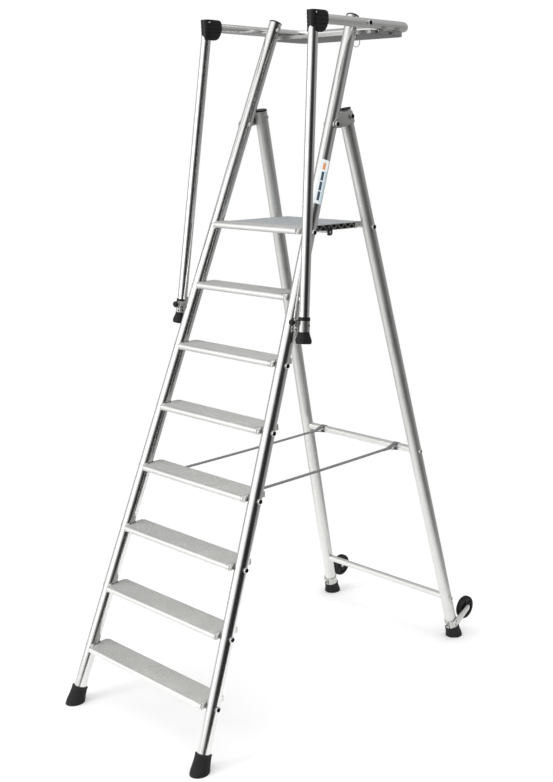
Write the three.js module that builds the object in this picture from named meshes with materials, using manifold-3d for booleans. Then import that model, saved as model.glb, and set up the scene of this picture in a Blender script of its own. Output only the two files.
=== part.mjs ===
// Folding platform step-ladder with a guard rail, two handrail legs and two rear wheels.
// Millimetres. +X is the climber's right, -Y the climbing side, +Z up, z = 0 the floor.
import * as THREE from 'three';
import { mergeVertices } from 'three/addons/utils/BufferGeometryUtils.js';
import Module from 'manifold-3d';

const wasm = await Module();
wasm.setup();

// ---------------------------------------------------------------- driving dimensions

const stepRise = 240;              // height from one tread to the next
const treadCount = 7;              // treads below the platform
const footHalfWidth = 400;         // front stile axis to the middle plane, at the floor
const frontSlope = 0.394;          // how far a front stile leans back per unit of height
const rearSlope = 0.2228;          // how far a rear stile leans forward per unit of height
const sideTaper = 0.0678;          // how far a front stile leans inwards per unit of height
const rearSideTaper = 0.066;       // the same for a rear stile
const frontStileRadius = 25;
const rearStileRadius = 26;
const stileWall = 2.2;
const hingeAbovePlatform = 380;    // hinge bolt above the platform surface
const hingeOffset = 92;            // rear stile axis behind the front one at the hinge
const rearStileAboveHinge = 55;
const stilesAbovePlatform = 780;   // front stile tops above the platform surface

const boltRadius = 5;
const boltHeadRadius = 11;
const boltHeadDepth = 6;
const boltSocketRadius = 6;
const fitGap = 0.3;                // space left between two pieces that touch

const treadThickness = 25;
const treadWall = 3;
const treadFront = 45;             // tread nose in front of the stile axis
const treadRear = 62;              // tread back edge behind the stile axis
const boltBelowTread = 17;         // tie rod below the tread surface
const noseRear = 28;               // back edge of the platform nose, behind its tie rod

const deckSideGap = 5.5;           // room beside the raised deck, between the front stiles
const deckThickness = 24;
const deckWall = 2.6;
const deckRearLip = 20;            // deck back edge behind the rear tie rod
const deckCellCount = 7;           // stiffening cells across its depth
const latchBack = 155;             // latch bar behind the tie rod the platform turns on
const latchRadius = 5;
const clipRadius = 14;
const clipWidth = 10;

const crossBarRadius = 15;
const upperBarBelowTread = 30;     // upper cross bar below the fourth tread's surface
const upperBarTread = 4;
const lowerBarHeight = 200;

const railRadius = 18;
const railWall = 2;
const railSpacer = 36;             // room between a front stile and the rail beside it
const tongueHalfWidth = 10;        // flat tongue on each front end of the rail
const railBelowStileTop = 28;
const railFrontReach = 282;        // corner pin in front of the rail bolt
const railBackReach = 255;         // back of the hoop behind the rail bolt
const railBendRadius = 60;

const legRadius = 19;
const legWall = 2;
const legSlope = 0.1347;           // how far a handrail leg leans forward per unit of depth
const legSplay = 0.0588;           // how far it leans outwards per unit of depth
const clampBelowTread = 85;        // handrail clamp below the top tread's surface
const legBelowClamp = 65;          // leg end below the clamp

const cornerWidth = 48;
const cornerHeight = 77;
const cornerFront = 24;            // corner housing in front of its pin
const cornerBack = 58;             // and behind it

const trayInset = 8;               // tray side inside the rail's centre line
const trayDepth = 16;
const traySheet = 2;
const trayFrontGap = 33;           // tray front edge behind the rail bolt
const trayBackGap = 250;           // tray back edge behind the rail bolt

const wheelRadius = 54;
const wheelWidth = 22;
const axleHeight = 116;
const axleBehindStile = 96;

const strapWidth = 25;
const strapThickness = 3;
const strapHalfSpan = 225;         // strap centre to the middle plane

// ---------------------------------------------------------------- materials

function finish(colour, roughness, metalness) {
  return new THREE.MeshStandardMaterial({ color: colour, roughness, metalness });
}
const polished = finish(0xd6d8d8, 0.22, 1.0);
const satin = finish(0xc9cbc8, 0.45, 0.9);
const ribbed = finish(0xbfc1bd, 0.55, 0.8);
const steel = finish(0xb8babb, 0.3, 1.0);
const blackPlastic = finish(0x1b1b1c, 0.55, 0.0);
const blackRubber = finish(0x141414, 0.8, 0.0);
const webbing = finish(0x4a4b4c, 0.9, 0.0);
const greySheet = finish(0x8d9093, 0.5, 0.6);

// ---------------------------------------------------------------- solid helpers

function toSolid(geometry) {
  const bare = geometry.clone();
  bare.deleteAttribute('normal');
  bare.deleteAttribute('uv');
  const merged = mergeVertices(bare);
  const vertProperties = new Float32Array(merged.getAttribute('position').array);
  const triVerts = new Uint32Array(merged.getIndex().array);
  return new wasm.Manifold(new wasm.Mesh({ numProp: 3, vertProperties, triVerts }));
}

function toGeometry(solid) {
  const mesh = solid.getMesh();
  const geometry = new THREE.BufferGeometry();
  geometry.setAttribute('position', new THREE.BufferAttribute(mesh.vertProperties, 3));
  geometry.setIndex(new THREE.BufferAttribute(mesh.triVerts, 1));
  geometry.computeVertexNormals();
  return geometry;
}

function join(...geometries) {
  const solids = geometries.map(toSolid);
  return toGeometry(solids.reduce((sum, solid) => sum.add(solid)));
}

function cut(geometry, ...tools) {
  const solids = tools.map(toSolid);
  return toGeometry(solids.reduce((rest, tool) => rest.subtract(tool), toSolid(geometry)));
}

function common(first, second) {
  return toGeometry(toSolid(first).intersect(toSolid(second)));
}

// A matrix whose +Z runs along the direction and whose +X stays level where it can.
function frameAlong(origin, direction) {
  const z = direction.clone().normalize();
  const level = new THREE.Vector3(1, 0, 0);
  const side = Math.abs(z.x) > 0.9 ? new THREE.Vector3(0, 1, 0) : level;
  const y = new THREE.Vector3().crossVectors(z, side).normalize();
  const x = new THREE.Vector3().crossVectors(y, z).normalize();
  return new THREE.Matrix4().makeBasis(x, y, z).setPosition(origin);
}

// A solid of revolution: profile points are [radius, distance along the axis].
function turned(origin, direction, profile, segments) {
  const points = profile.map(([radius, along]) => new THREE.Vector2(radius, along));
  const geometry = new THREE.LatheGeometry(points, segments);
  geometry.rotateX(Math.PI / 2);
  return geometry.applyMatrix4(frameAlong(origin, direction));
}

function bar(from, to, radius, segments) {
  const along = new THREE.Vector3().subVectors(to, from);
  const length = along.length();
  return turned(from, along, [[0, 0], [radius, 0], [radius, length], [0, length]], segments);
}

function pipe(from, to, radius, inner, segments) {
  const along = new THREE.Vector3().subVectors(to, from);
  const length = along.length();
  const profile = [[inner, 0], [radius, 0], [radius, length], [inner, length], [inner, 0]];
  return turned(from, along, profile, segments);
}

function box(low, high) {
  const size = new THREE.Vector3().subVectors(high, low);
  const geometry = new THREE.BoxGeometry(size.x, size.y, size.z);
  return geometry.translate((low.x + high.x) / 2, (low.y + high.y) / 2, (low.z + high.z) / 2);
}

// Extrudes an outline drawn in the Y-Z plane from x = low to x = high.
function alongX(shape, low, high, curveSegments = 3) {
  const settings = { depth: high - low, bevelEnabled: false, curveSegments };
  const geometry = new THREE.ExtrudeGeometry(shape, settings);
  const basis = new THREE.Matrix4().makeBasis(
    new THREE.Vector3(0, 1, 0), new THREE.Vector3(0, 0, 1), new THREE.Vector3(1, 0, 0));
  return geometry.applyMatrix4(basis).translate(low, 0, 0);
}

// Extrudes an outline drawn in the X-Y plane from z = low to z = high.
function alongZ(shape, low, high, curveSegments = 3) {
  const settings = { depth: high - low, bevelEnabled: false, curveSegments };
  return new THREE.ExtrudeGeometry(shape, settings).translate(0, 0, low);
}

function point(x, y, z) {
  return new THREE.Vector3(x, y, z);
}

const tubeSegments = 20;
const boltSegments = 8;
const alongBolts = point(1, 0, 0);

// ---------------------------------------------------------------- the ladder's skeleton

const platformHeight = stepRise * (treadCount + 1);
const hingeHeight = platformHeight + hingeAbovePlatform;
const stileTopHeight = platformHeight + stilesAbovePlatform;
const railHeight = stileTopHeight - railBelowStileTop;

// Points on the stile axes; side is +1 on the climber's right and -1 on the left.
function frontAxis(side, height) {
  return point(side * (footHalfWidth - sideTaper * height), frontSlope * height, height);
}

function rearAxis(side, height) {
  const below = hingeHeight - height;
  const hinge = frontAxis(1, hingeHeight);
  const flush = hinge.x + frontStileRadius - rearStileRadius;
  return point(side * (flush + rearSideTaper * below), hinge.y + hingeOffset + rearSlope * below, height);
}

const hingePoint = point(0, frontAxis(1, hingeHeight).y, hingeHeight);
const railPoint = point(0, frontAxis(1, railHeight).y, railHeight);
const railHalfWidth = frontAxis(1, railHeight).x + frontStileRadius + railSpacer + railRadius;
const cornerPin = point(railHalfWidth, railPoint.y - railFrontReach, railHeight);
const clampHeight = stepRise * treadCount - clampBelowTread;

function legAxis(side, height) {
  const below = cornerPin.z - height;
  return point(side * (cornerPin.x + legSplay * below), cornerPin.y - legSlope * below, height);
}

const legDirection = side => new THREE.Vector3().subVectors(legAxis(side, 0), legAxis(side, 1)).normalize();
const frontDirection = side => new THREE.Vector3().subVectors(frontAxis(side, 1), frontAxis(side, 0)).normalize();
const rearDirection = side => new THREE.Vector3().subVectors(rearAxis(side, 1), rearAxis(side, 0)).normalize();

const tieRodHeights = [];
for (let step = 1; step <= treadCount + 1; step += 1) {
  tieRodHeights.push(step * stepRise - boltBelowTread);
}
const platformRodHeight = tieRodHeights[treadCount];
const upperBarHeight = upperBarTread * stepRise - upperBarBelowTread;
const clampFace = legAxis(1, clampHeight).x - legRadius - 4.7;   // where clamp and stile lug meet

// A round bar along X through a point, long enough to pass both walls of a stile.
function drill(at, radius, halfLength) {
  return bar(point(at.x - halfLength, at.y, at.z), point(at.x + halfLength, at.y, at.z), radius, boltSegments);
}

// ---------------------------------------------------------------- assembly

const ladder = new THREE.Group();
const assembly = new THREE.Group();
assembly.add(ladder);

// Adds a mesh whose own axes follow the frame, with its geometry given in ladder coordinates.
function addPart(name, geometry, material, frame = new THREE.Matrix4()) {
  const local = geometry.clone().applyMatrix4(frame.clone().invert());
  const mesh = new THREE.Mesh(local, material);
  mesh.name = name;
  mesh.applyMatrix4(frame);
  ladder.add(mesh);
}

const sides = [[-1, 'left'], [1, 'right']];

// ---------------------------------------------------------------- stiles, caps and feet

const soleSink = 20;
const frontFoot = { length: 70, soleRadius: 37, neckRadius: 29.5, stileSeat: 14 };
const rearFoot = { length: 50, soleRadius: 38, neckRadius: 31, stileSeat: 14 };
const capPlug = 18;
const capRim = 6;

// A flared rubber tip on a stile end, cut off level with the floor.
function footTip(axis, direction, stileRadius, foot) {
  const socket = stileRadius + fitGap;
  const profile = [
    [0, -soleSink], [foot.soleRadius, -soleSink], [foot.soleRadius, 8],
    [foot.neckRadius + 1.5, foot.length - 14], [foot.neckRadius + 1.5, foot.length],
    [socket, foot.length], [socket, foot.stileSeat], [0, foot.stileSeat],
  ];
  const tip = turned(axis(0), direction, profile, tubeSegments);
  const reach = 4 * foot.soleRadius;
  const base = axis(0);
  const floor = box(point(base.x - reach, base.y - reach, -reach), point(base.x + reach, base.y + reach, 0));
  return cut(tip, floor);
}

function stileCap(top, direction, radius) {
  const inner = radius - stileWall - fitGap;
  const profile = [[0, -capPlug], [inner, -capPlug], [inner, fitGap], [radius + 0.8, fitGap],
    [radius + 0.8, capRim - 2], [radius - 3, capRim], [0, capRim]];
  return turned(top, direction, profile, tubeSegments);
}

function alongAxis(origin, direction, distance) {
  return origin.clone().addScaledVector(direction, distance);
}

const holeRadius = boltRadius + 0.6;

// The block on a stile's outer rear side that a handrail clamp bears on.
function clampLug(side) {
  const at = frontAxis(side, clampHeight);
  const face = side * clampFace;
  const low = point(Math.min(at.x, face), at.y + 11, clampHeight - 16);
  const high = point(Math.max(at.x, face), at.y + 29, clampHeight + 16);
  const lean = alongAxis(frontAxis(side, clampHeight), frontDirection(side), -60);
  const end = alongAxis(frontAxis(side, clampHeight), frontDirection(side), 60);
  return cut(box(low, high), bar(lean, end, frontStileRadius - 1, tubeSegments));
}

for (const [side, word] of sides) {
  const axis = height => frontAxis(side, height);
  const direction = frontDirection(side);
  const frame = frameAlong(axis(0), direction);
  const bottom = alongAxis(axis(0), direction, frontFoot.stileSeat + fitGap);
  const tube = pipe(bottom, axis(stileTopHeight), frontStileRadius, frontStileRadius - stileWall, tubeSegments);
  const heights = [...tieRodHeights, hingeHeight, railHeight];
  const holes = heights.map(height => drill(axis(height), holeRadius, 2 * frontStileRadius));
  addPart(`front_stile_${word}`, cut(join(tube, clampLug(side)), ...holes), polished, frame);
  addPart(`front_stile_cap_${word}`, stileCap(axis(stileTopHeight), direction, frontStileRadius), blackPlastic, frame);
  addPart(`front_foot_${word}`, footTip(axis, direction, frontStileRadius, frontFoot), blackRubber, frame);
}

const rearTopHeight = hingeHeight + rearStileAboveHinge;
const plateBoltHeight = hingeHeight + 30;

for (const [side, word] of sides) {
  const axis = height => rearAxis(side, height);
  const direction = rearDirection(side);
  const frame = frameAlong(axis(0), direction);
  const bottom = alongAxis(axis(0), direction, rearFoot.stileSeat + fitGap);
  const tube = pipe(bottom, axis(rearTopHeight), rearStileRadius, rearStileRadius - stileWall, tubeSegments);
  const heights = [platformRodHeight, upperBarHeight, lowerBarHeight, plateBoltHeight];
  const holes = heights.map(height => drill(axis(height), holeRadius, 2 * rearStileRadius));
  addPart(`rear_stile_${word}`, cut(tube, ...holes), satin, frame);
  addPart(`rear_stile_cap_${word}`, stileCap(axis(rearTopHeight), direction, rearStileRadius), blackPlastic, frame);
  addPart(`rear_foot_${word}`, footTip(axis, direction, rearStileRadius, rearFoot), blackRubber, frame);
}

// ---------------------------------------------------------------- tie rods and bolts

const washerStandOff = 1.4;        // keeps a flat head clear of the leaning stile wall

// A bolt head with a hexagon socket, its seat at x = seat and facing outwards along side.
function boltHead(side, seat, y, z) {
  const out = point(side, 0, 0);
  const head = turned(point(seat, y, z), out, [[0, 0], [boltHeadRadius, 0],
    [boltHeadRadius - 1, boltHeadDepth], [0, boltHeadDepth]], 10);
  const socket = bar(point(seat + side * 2.5, y, z), point(seat + side * (boltHeadDepth + 1), y, z), boltSocketRadius, 6);
  return cut(head, socket);
}

// A rod right across the ladder with a head outside each stile.
function tieRod(axis, height, stileRadius, radius = boltRadius) {
  const right = axis(1, height);
  const seat = right.x + stileRadius + washerStandOff;
  const rod = bar(point(-seat - 1, right.y, right.z), point(seat + 1, right.y, right.z), radius, boltSegments);
  return join(rod, boltHead(1, seat, right.y, right.z), boltHead(-1, -seat, right.y, right.z));
}

tieRodHeights.forEach((height, index) => {
  const centre = point(0, frontAxis(1, height).y, height);
  const frame = frameAlong(centre, alongBolts);
  addPart(`tie_rod_${index + 1}`, tieRod(frontAxis, height, frontStileRadius), steel, frame);
});

// ---------------------------------------------------------------- treads

// The tread section: flat top, round nose, turned-under lips; y from the stile axis, z from the top.
function treadOutline(front, rear, rearLip) {
  const nose = treadThickness / 2;
  const inner = nose - treadWall;
  const outline = new THREE.Shape();
  outline.moveTo(rear, -rearLip);
  outline.lineTo(rear, 0);
  outline.lineTo(-front + nose, 0);
  outline.absarc(-front + nose, -nose, nose, Math.PI / 2, 3 * Math.PI / 2, false);
  outline.lineTo(-front + nose + 12, -treadThickness);
  outline.lineTo(-front + nose + 12, -treadThickness + treadWall);
  outline.lineTo(-front + nose, -treadThickness + treadWall);
  outline.absarc(-front + nose, -nose, inner, 3 * Math.PI / 2, Math.PI / 2, true);
  outline.lineTo(rear - treadWall, -treadWall);
  outline.lineTo(rear - treadWall, -rearLip);
  return outline;
}

function treadBlock(front, rear, depth) {
  const nose = treadThickness / 2;
  const outline = new THREE.Shape();
  outline.moveTo(rear, -depth);
  outline.lineTo(rear, 0);
  outline.lineTo(-front + nose, 0);
  outline.absarc(-front + nose, -nose, nose, Math.PI / 2, 3 * Math.PI / 2, false);
  outline.lineTo(-front + nose, -depth);
  return outline;
}

const endPlate = 4;
const saddleReach = 12;            // how far a saddle reaches outwards round the stile

// A tread with its two end brackets, each a plate with a saddle behind the stile.
function tread(step) {
  const top = step * stepRise;
  const at = frontAxis(1, top);
  const end = at.x - frontStileRadius - 2 * fitGap;
  const outline = treadOutline(treadFront, treadRear, treadThickness);
  const solids = [alongX(outline, -end + endPlate - 1, end - endPlate + 1).translate(0, at.y, top)];
  const stiles = [];
  for (const [side] of sides) {
    const inner = side * (end - endPlate);
    const outer = side * end;
    const reach = side * (end + saddleReach);
    const block = treadBlock(treadFront, treadRear, treadThickness);
    solids.push(alongX(block, Math.min(inner, outer), Math.max(inner, outer)).translate(0, at.y, top));
    solids.push(box(point(Math.min(inner, reach), at.y + 2, top - treadThickness + 1),
      point(Math.max(inner, reach), at.y + treadRear - 4, top - 1)));
    const low = alongAxis(frontAxis(side, top), frontDirection(side), -60);
    const high = alongAxis(frontAxis(side, top), frontDirection(side), 60);
    stiles.push(bar(low, high, frontStileRadius + 0.9, 20));
  }
  const rodHeight = tieRodHeights[step - 1];
  const rod = point(0, frontAxis(1, rodHeight).y, rodHeight);
  return cut(join(...solids), ...stiles, drill(rod, holeRadius, footHalfWidth + 50));
}

for (let step = 1; step <= treadCount; step += 1) {
  const frame = new THREE.Matrix4().setPosition(0, frontAxis(1, step * stepRise).y, step * stepRise);
  addPart(`tread_${step}`, tread(step), ribbed, frame);
}

// ---------------------------------------------------------------- platform

const platformPivot = point(0, frontAxis(1, platformRodHeight).y, platformRodHeight);
const rearRodPoint = point(0, rearAxis(1, platformRodHeight).y, platformRodHeight);
const platformTop = new THREE.Matrix4().setPosition(0, platformPivot.y, platformHeight);
const noseHalfWidth = frontAxis(1, platformHeight).x - frontStileRadius - 3;
const deckReach = rearRodPoint.y - platformPivot.y + deckRearLip;
const raisedDeckTop = platformPivot.z + deckReach / Math.sqrt(1 + frontSlope ** 2);
const deckHalfWidth = frontAxis(1, raisedDeckTop).x - frontStileRadius - deckSideGap;

function platformNose() {
  const shelf = alongX(treadOutline(treadFront, noseRear, deckThickness), -noseHalfWidth + 1, noseHalfWidth - 1);
  const plate = treadBlock(treadFront, noseRear, deckThickness);
  const left = alongX(plate, -noseHalfWidth, -noseHalfWidth + endPlate);
  const right = alongX(plate, noseHalfWidth - endPlate, noseHalfWidth);
  const whole = join(shelf, left, right).applyMatrix4(platformTop);
  return cut(whole, drill(platformPivot, holeRadius, footHalfWidth));
}
addPart('platform_nose', platformNose(), ribbed, platformTop);

// The deck section, with an open-bottomed hook over the rear tie rod.
const deckHook = rearRodPoint.y - platformPivot.y;

function deckOutline() {
  const rear = deckHook + deckRearLip;
  const low = -deckThickness;
  const clear = boltRadius + 0.6;
  const ceiling = -boltBelowTread + boltRadius + fitGap;
  const slant = 8.4;
  const outline = new THREE.Shape();
  outline.moveTo(noseRear + fitGap, low);
  outline.lineTo(deckHook - clear - 1 - slant, low);
  outline.lineTo(deckHook - clear - 1, low + slant);
  outline.lineTo(deckHook - clear, ceiling);
  outline.lineTo(deckHook + clear, ceiling);
  outline.lineTo(deckHook + clear, low);
  outline.lineTo(rear - 8, low);
  outline.quadraticCurveTo(rear, low, rear, low + 8);
  outline.lineTo(rear, -8);
  outline.quadraticCurveTo(rear, 0, rear - 8, 0);
  outline.lineTo(noseRear + fitGap, 0);
  return outline;
}

// Three-cornered tunnels that leave slanting webs between the deck's two faces.
function deckCells() {
  const cellFront = noseRear + fitGap + deckWall;
  const pitch = (deckHook - 24 - cellFront) / deckCellCount;
  const floor = -deckThickness + deckWall;
  const roof = -deckWall;
  const web = deckWall / 2;
  const cells = [];
  const tunnel = corners => {
    const outline = new THREE.Shape();
    outline.moveTo(...corners[0]);
    outline.lineTo(...corners[1]);
    outline.lineTo(...corners[2]);
    cells.push(alongX(outline, -deckHalfWidth - 5, deckHalfWidth + 5).applyMatrix4(platformTop));
  };
  for (let cell = 0; cell < deckCellCount; cell += 1) {
    const start = cellFront + cell * pitch;
    const middle = start + pitch / 2;
    tunnel([[start + web, floor], [start + pitch - web, floor], [middle, roof - 2]]);
    if (cell > 0) {
      tunnel([[middle - pitch + web, roof], [start, floor + 2], [middle - web, roof]]);
    }
  }
  return cells;
}
const deckBlank = alongX(deckOutline(), -deckHalfWidth, deckHalfWidth, 4).applyMatrix4(platformTop);
addPart('deck', cut(deckBlank, ...deckCells()), greySheet, platformTop);

// A bar under the deck with an open ring clip at each end.
const latchPoint = point(0, platformPivot.y + latchBack, platformHeight - deckThickness - fitGap - latchRadius);

function clipOutline() {
  const inner = clipRadius - 4;
  const gap = Math.PI / 5;
  const outline = new THREE.Shape();
  outline.absarc(0, 0, clipRadius, -Math.PI + gap, Math.PI - gap, false);
  outline.absarc(0, 0, inner, Math.PI - gap, -Math.PI + gap, true);
  return outline;
}

function latchBar() {
  const half = deckHalfWidth + 4 + clipWidth;
  const rod = bar(point(-half, latchPoint.y, latchPoint.z), point(half, latchPoint.y, latchPoint.z),
    latchRadius, boltSegments);
  const pieces = [rod];
  for (const [side] of sides) {
    const inner = side * (half - clipWidth);
    const low = Math.min(inner, side * half);
    const high = Math.max(inner, side * half);
    pieces.push(alongX(clipOutline(), low, high, 5).translate(0, latchPoint.y, latchPoint.z));
    pieces.push(box(point(low, latchPoint.y, latchPoint.z - 2.5), point(high, latchPoint.y + clipRadius - 2, latchPoint.z + 2.5)));
  }
  return join(...pieces);
}
addPart('deck_latch_bar', latchBar(), steel, new THREE.Matrix4().setPosition(latchPoint));
addPart('platform_rear_rod', tieRod(rearAxis, platformRodHeight, rearStileRadius), steel, frameAlong(rearRodPoint, alongBolts));

// ---------------------------------------------------------------- rear cross bars and straps

// A round tube between the rear stiles with a bolt through each; small holes drain it.
function crossBar(height) {
  const right = rearAxis(1, height);
  const end = right.x - rearStileRadius - 2 * fitGap - 0.6;
  const seat = right.x + rearStileRadius + washerStandOff;
  const centre = point(0, right.y, right.z);
  const tube = pipe(point(-end, centre.y, centre.z), point(end, centre.y, centre.z), crossBarRadius, crossBarRadius - 2, 16);
  const pieces = [tube];
  for (const [side] of sides) {
    const outer = point(side * (seat + 1), centre.y, centre.z);
    const plug = point(side * (end - 6), centre.y, centre.z);
    pieces.push(bar(plug, outer, boltRadius, boltSegments));
    pieces.push(bar(plug, point(side * (end - 1), centre.y, centre.z), crossBarRadius - 1, 16));
    pieces.push(boltHead(side, side * seat, centre.y, centre.z));
  }
  const drain = x => bar(point(x, centre.y, centre.z - crossBarRadius - 2), point(x, centre.y, centre.z - 6), 2, 6);
  return cut(join(...pieces), drain(-end + 20), drain(end - 20));
}
for (const [word, height] of [['upper', upperBarHeight], ['lower', lowerBarHeight]]) {
  const centre = point(0, rearAxis(1, height).y, height);
  addPart(`rear_cross_bar_${word}`, crossBar(height), satin, frameAlong(centre, alongBolts));
}

// A webbing strap from a loop round a tread's tie rod to a loop round the upper cross bar.
function strap(side) {
  const rod = point(0, frontAxis(1, tieRodHeights[upperBarTread - 1]).y, tieRodHeights[upperBarTread - 1]);
  const back = point(0, rearAxis(1, upperBarHeight).y, upperBarHeight);
  const rodLoop = boltRadius + 0.5;
  const barLoop = crossBarRadius + 0.5;
  const low = side * strapHalfSpan - strapWidth / 2;
  const high = low + strapWidth;
  const loop = (centre, inner) => {
    const ring = new THREE.Shape();
    ring.absarc(centre.y, centre.z, inner + strapThickness, 0, 2 * Math.PI, false);
    const eye = new THREE.Path();
    eye.absarc(centre.y, centre.z, inner, 0, 2 * Math.PI, true);
    ring.holes.push(eye);
    return alongX(ring, low, high, 8);
  };
  const bend = stepRise * upperBarTread - treadThickness - 2.5 - strapThickness / 2;
  const half = strapThickness / 2;
  const band = new THREE.Shape();
  band.moveTo(rod.y + rodLoop + 0.5, rod.z - 2.5);
  band.lineTo(rod.y + rodLoop + 18, bend - half);
  band.lineTo(back.y - barLoop - 0.5, back.z - half);
  band.lineTo(back.y - barLoop - 0.5, back.z + half);
  band.lineTo(rod.y + rodLoop + 19, bend + half);
  band.lineTo(rod.y + rodLoop + 0.5, rod.z + 1.5);
  return join(loop(rod, rodLoop), loop(back, barLoop), alongX(band, low, high));
}
for (const [side, word] of sides) {
  const frame = new THREE.Matrix4().setPosition(side * strapHalfSpan, rearAxis(1, upperBarHeight).y, upperBarHeight);
  addPart(`strap_${word}`, strap(side), webbing, frame);
}

// ---------------------------------------------------------------- hinges between front and rear

const plateThickness = 4;
const plateGap = 1.5;

function plateOutline() {
  const rear = hingeOffset - 8;
  const outline = new THREE.Shape();
  outline.moveTo(3, -15);
  outline.lineTo(19, -14);
  outline.lineTo(rear - 8, -2);
  outline.lineTo(rear + 13, 5);
  outline.quadraticCurveTo(rear + 18, 7, rear + 17, 13);
  outline.lineTo(rear + 10, 46);
  outline.quadraticCurveTo(rear + 8, 53, rear, 52);
  outline.lineTo(32, 43);
  outline.quadraticCurveTo(26, 42, 22, 37);
  outline.lineTo(-9, 12);
  outline.absarc(0, 0, 15, Math.PI * 0.7, Math.PI * 1.56, false);
  return outline;
}

// A plate lying along the stiles' sides, its near face the given distance from their outer plane.
function hingePlate(side, near) {
  const flat = alongX(plateOutline(), Math.min(0, side * plateThickness), Math.max(0, side * plateThickness));
  flat.rotateY(-side * Math.atan(sideTaper));
  return flat.translate(side * near, hingePoint.y, hingePoint.z);
}

const hingeOuterFace = frontAxis(1, hingeHeight).x + frontStileRadius + plateGap;
const hingeSeat = hingeOuterFace + plateThickness + washerStandOff;
const hingeNutSeat = frontAxis(1, hingeHeight).x - frontStileRadius - washerStandOff;
const plateNutSeat = rearAxis(1, plateBoltHeight).x - rearStileRadius - washerStandOff;

function nut(side, seat, y, z) {
  return bar(point(side * seat, y, z), point(side * (seat - 7), y, z), 10, 6);
}

for (const [side, word] of sides) {
  const pivot = point(0, hingePoint.y, hingePoint.z);
  const rear = point(0, rearAxis(1, plateBoltHeight).y, plateBoltHeight);
  const rearSeat = hingeSeat - sideTaper * (plateBoltHeight - hingeHeight);
  const pivotHole = drill(pivot, holeRadius, footHalfWidth);
  const outerFrame = new THREE.Matrix4().setPosition(side * hingeOuterFace, pivot.y, pivot.z);
  const shank = bar(point(side * (plateNutSeat - 1), rear.y, rear.z), point(side * (rearSeat + 1), rear.y, rear.z), boltRadius, boltSegments);
  const seatDisc = bar(point(side * (rearSeat - 3), rear.y, rear.z), point(side * (rearSeat + 0.5), rear.y, rear.z), boltHeadRadius, 12);
  const outer = cut(hingePlate(side, hingeOuterFace), pivotHole);
  const bolted = join(outer, shank, seatDisc, boltHead(side, side * rearSeat, rear.y, rear.z),
    nut(side, plateNutSeat, rear.y, rear.z));
  addPart(`hinge_plate_outer_${word}`, bolted, satin, outerFrame);
  const pin = bar(point(side * (hingeNutSeat - 1), pivot.y, pivot.z), point(side * (hingeSeat + 1), pivot.y, pivot.z), boltRadius, boltSegments);
  const bolt = join(pin, boltHead(side, side * hingeSeat, pivot.y, pivot.z), nut(side, hingeNutSeat, pivot.y, pivot.z));
  addPart(`hinge_pivot_bolt_${word}`, bolt, steel, frameAlong(frontAxis(side, hingeHeight), alongBolts));
}

// ---------------------------------------------------------------- wheels

const collarLow = rearFoot.length + fitGap;
const collarHigh = collarLow + 36;
const armThickness = 4;
const axlePoint = point(0, rearAxis(1, axleHeight).y + axleBehindStile, axleHeight);
const armFace = rearAxis(1, 70).x + rearStileRadius + fitGap;
const wheelOuter = armFace - 3.5;
const wheelInner = wheelOuter - wheelWidth;

function armOutline(stileY) {
  const outline = new THREE.Shape();
  outline.absarc(stileY, 70, 20, Math.PI * 0.66, Math.PI * 1.66, false);
  outline.absarc(axlePoint.y, axlePoint.z, 16, -Math.PI * 0.34, Math.PI * 0.66, false);
  return outline;
}

for (const [side, word] of sides) {
  const direction = rearDirection(side);
  const foot = rearAxis(side, 0);
  const low = alongAxis(foot, direction, collarLow);
  const high = alongAxis(foot, direction, collarHigh);
  const collar = bar(low, high, rearStileRadius + 3.8, tubeSegments);
  const near = side * armFace;
  const far = side * (armFace + armThickness);
  const arm = alongX(armOutline(rearAxis(side, 70).y), Math.min(near, far), Math.max(near, far), 4);
  const bore = bar(alongAxis(foot, direction, collarLow - 40), alongAxis(foot, direction, collarHigh + 90),
    rearStileRadius + fitGap, tubeSegments);
  const axle = bar(point(side * (wheelInner - 2), axlePoint.y, axlePoint.z), point(near + side, axlePoint.y, axlePoint.z), 6, 12);
  const retainer = bar(point(side * (wheelInner - 5), axlePoint.y, axlePoint.z),
    point(side * (wheelInner - 1), axlePoint.y, axlePoint.z), 9, 12);
  const frame = new THREE.Matrix4().setPosition(near, axlePoint.y, axlePoint.z);
  addPart(`wheel_bracket_${word}`, join(cut(join(collar, arm), bore), axle, retainer), satin, frame);
  const half = wheelWidth / 2;
  const profile = [[6.5, -half], [15, -half], [18, -half + 4], [38, -half + 4], [43, -half], [50, -half],
    [wheelRadius, -half + 4], [wheelRadius, half - 4], [50, half], [43, half], [38, half - 4], [18, half - 4],
    [15, half], [6.5, half], [6.5, -half]];
  const hub = point(side * (wheelInner + half), axlePoint.y, axlePoint.z);
  addPart(`wheel_${word}`, turned(hub, alongBolts, profile, 22), blackPlastic, frameAlong(hub, alongBolts));
}

// ---------------------------------------------------------------- guard rail

// A path given by its stations, so that only the bends are finely stepped.
class StationPath extends THREE.Curve {
  constructor(stations) {
    super();
    this.stations = stations;
  }

  at(u) {
    return this.stations[Math.round(u * (this.stations.length - 1))];
  }

  getPoint(u) {
    return this.at(u).place.clone();
  }

  getPointAt(u) {
    return this.getPoint(u);
  }

  getTangentAt(u) {
    return this.at(u).heading.clone();
  }
}

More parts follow.
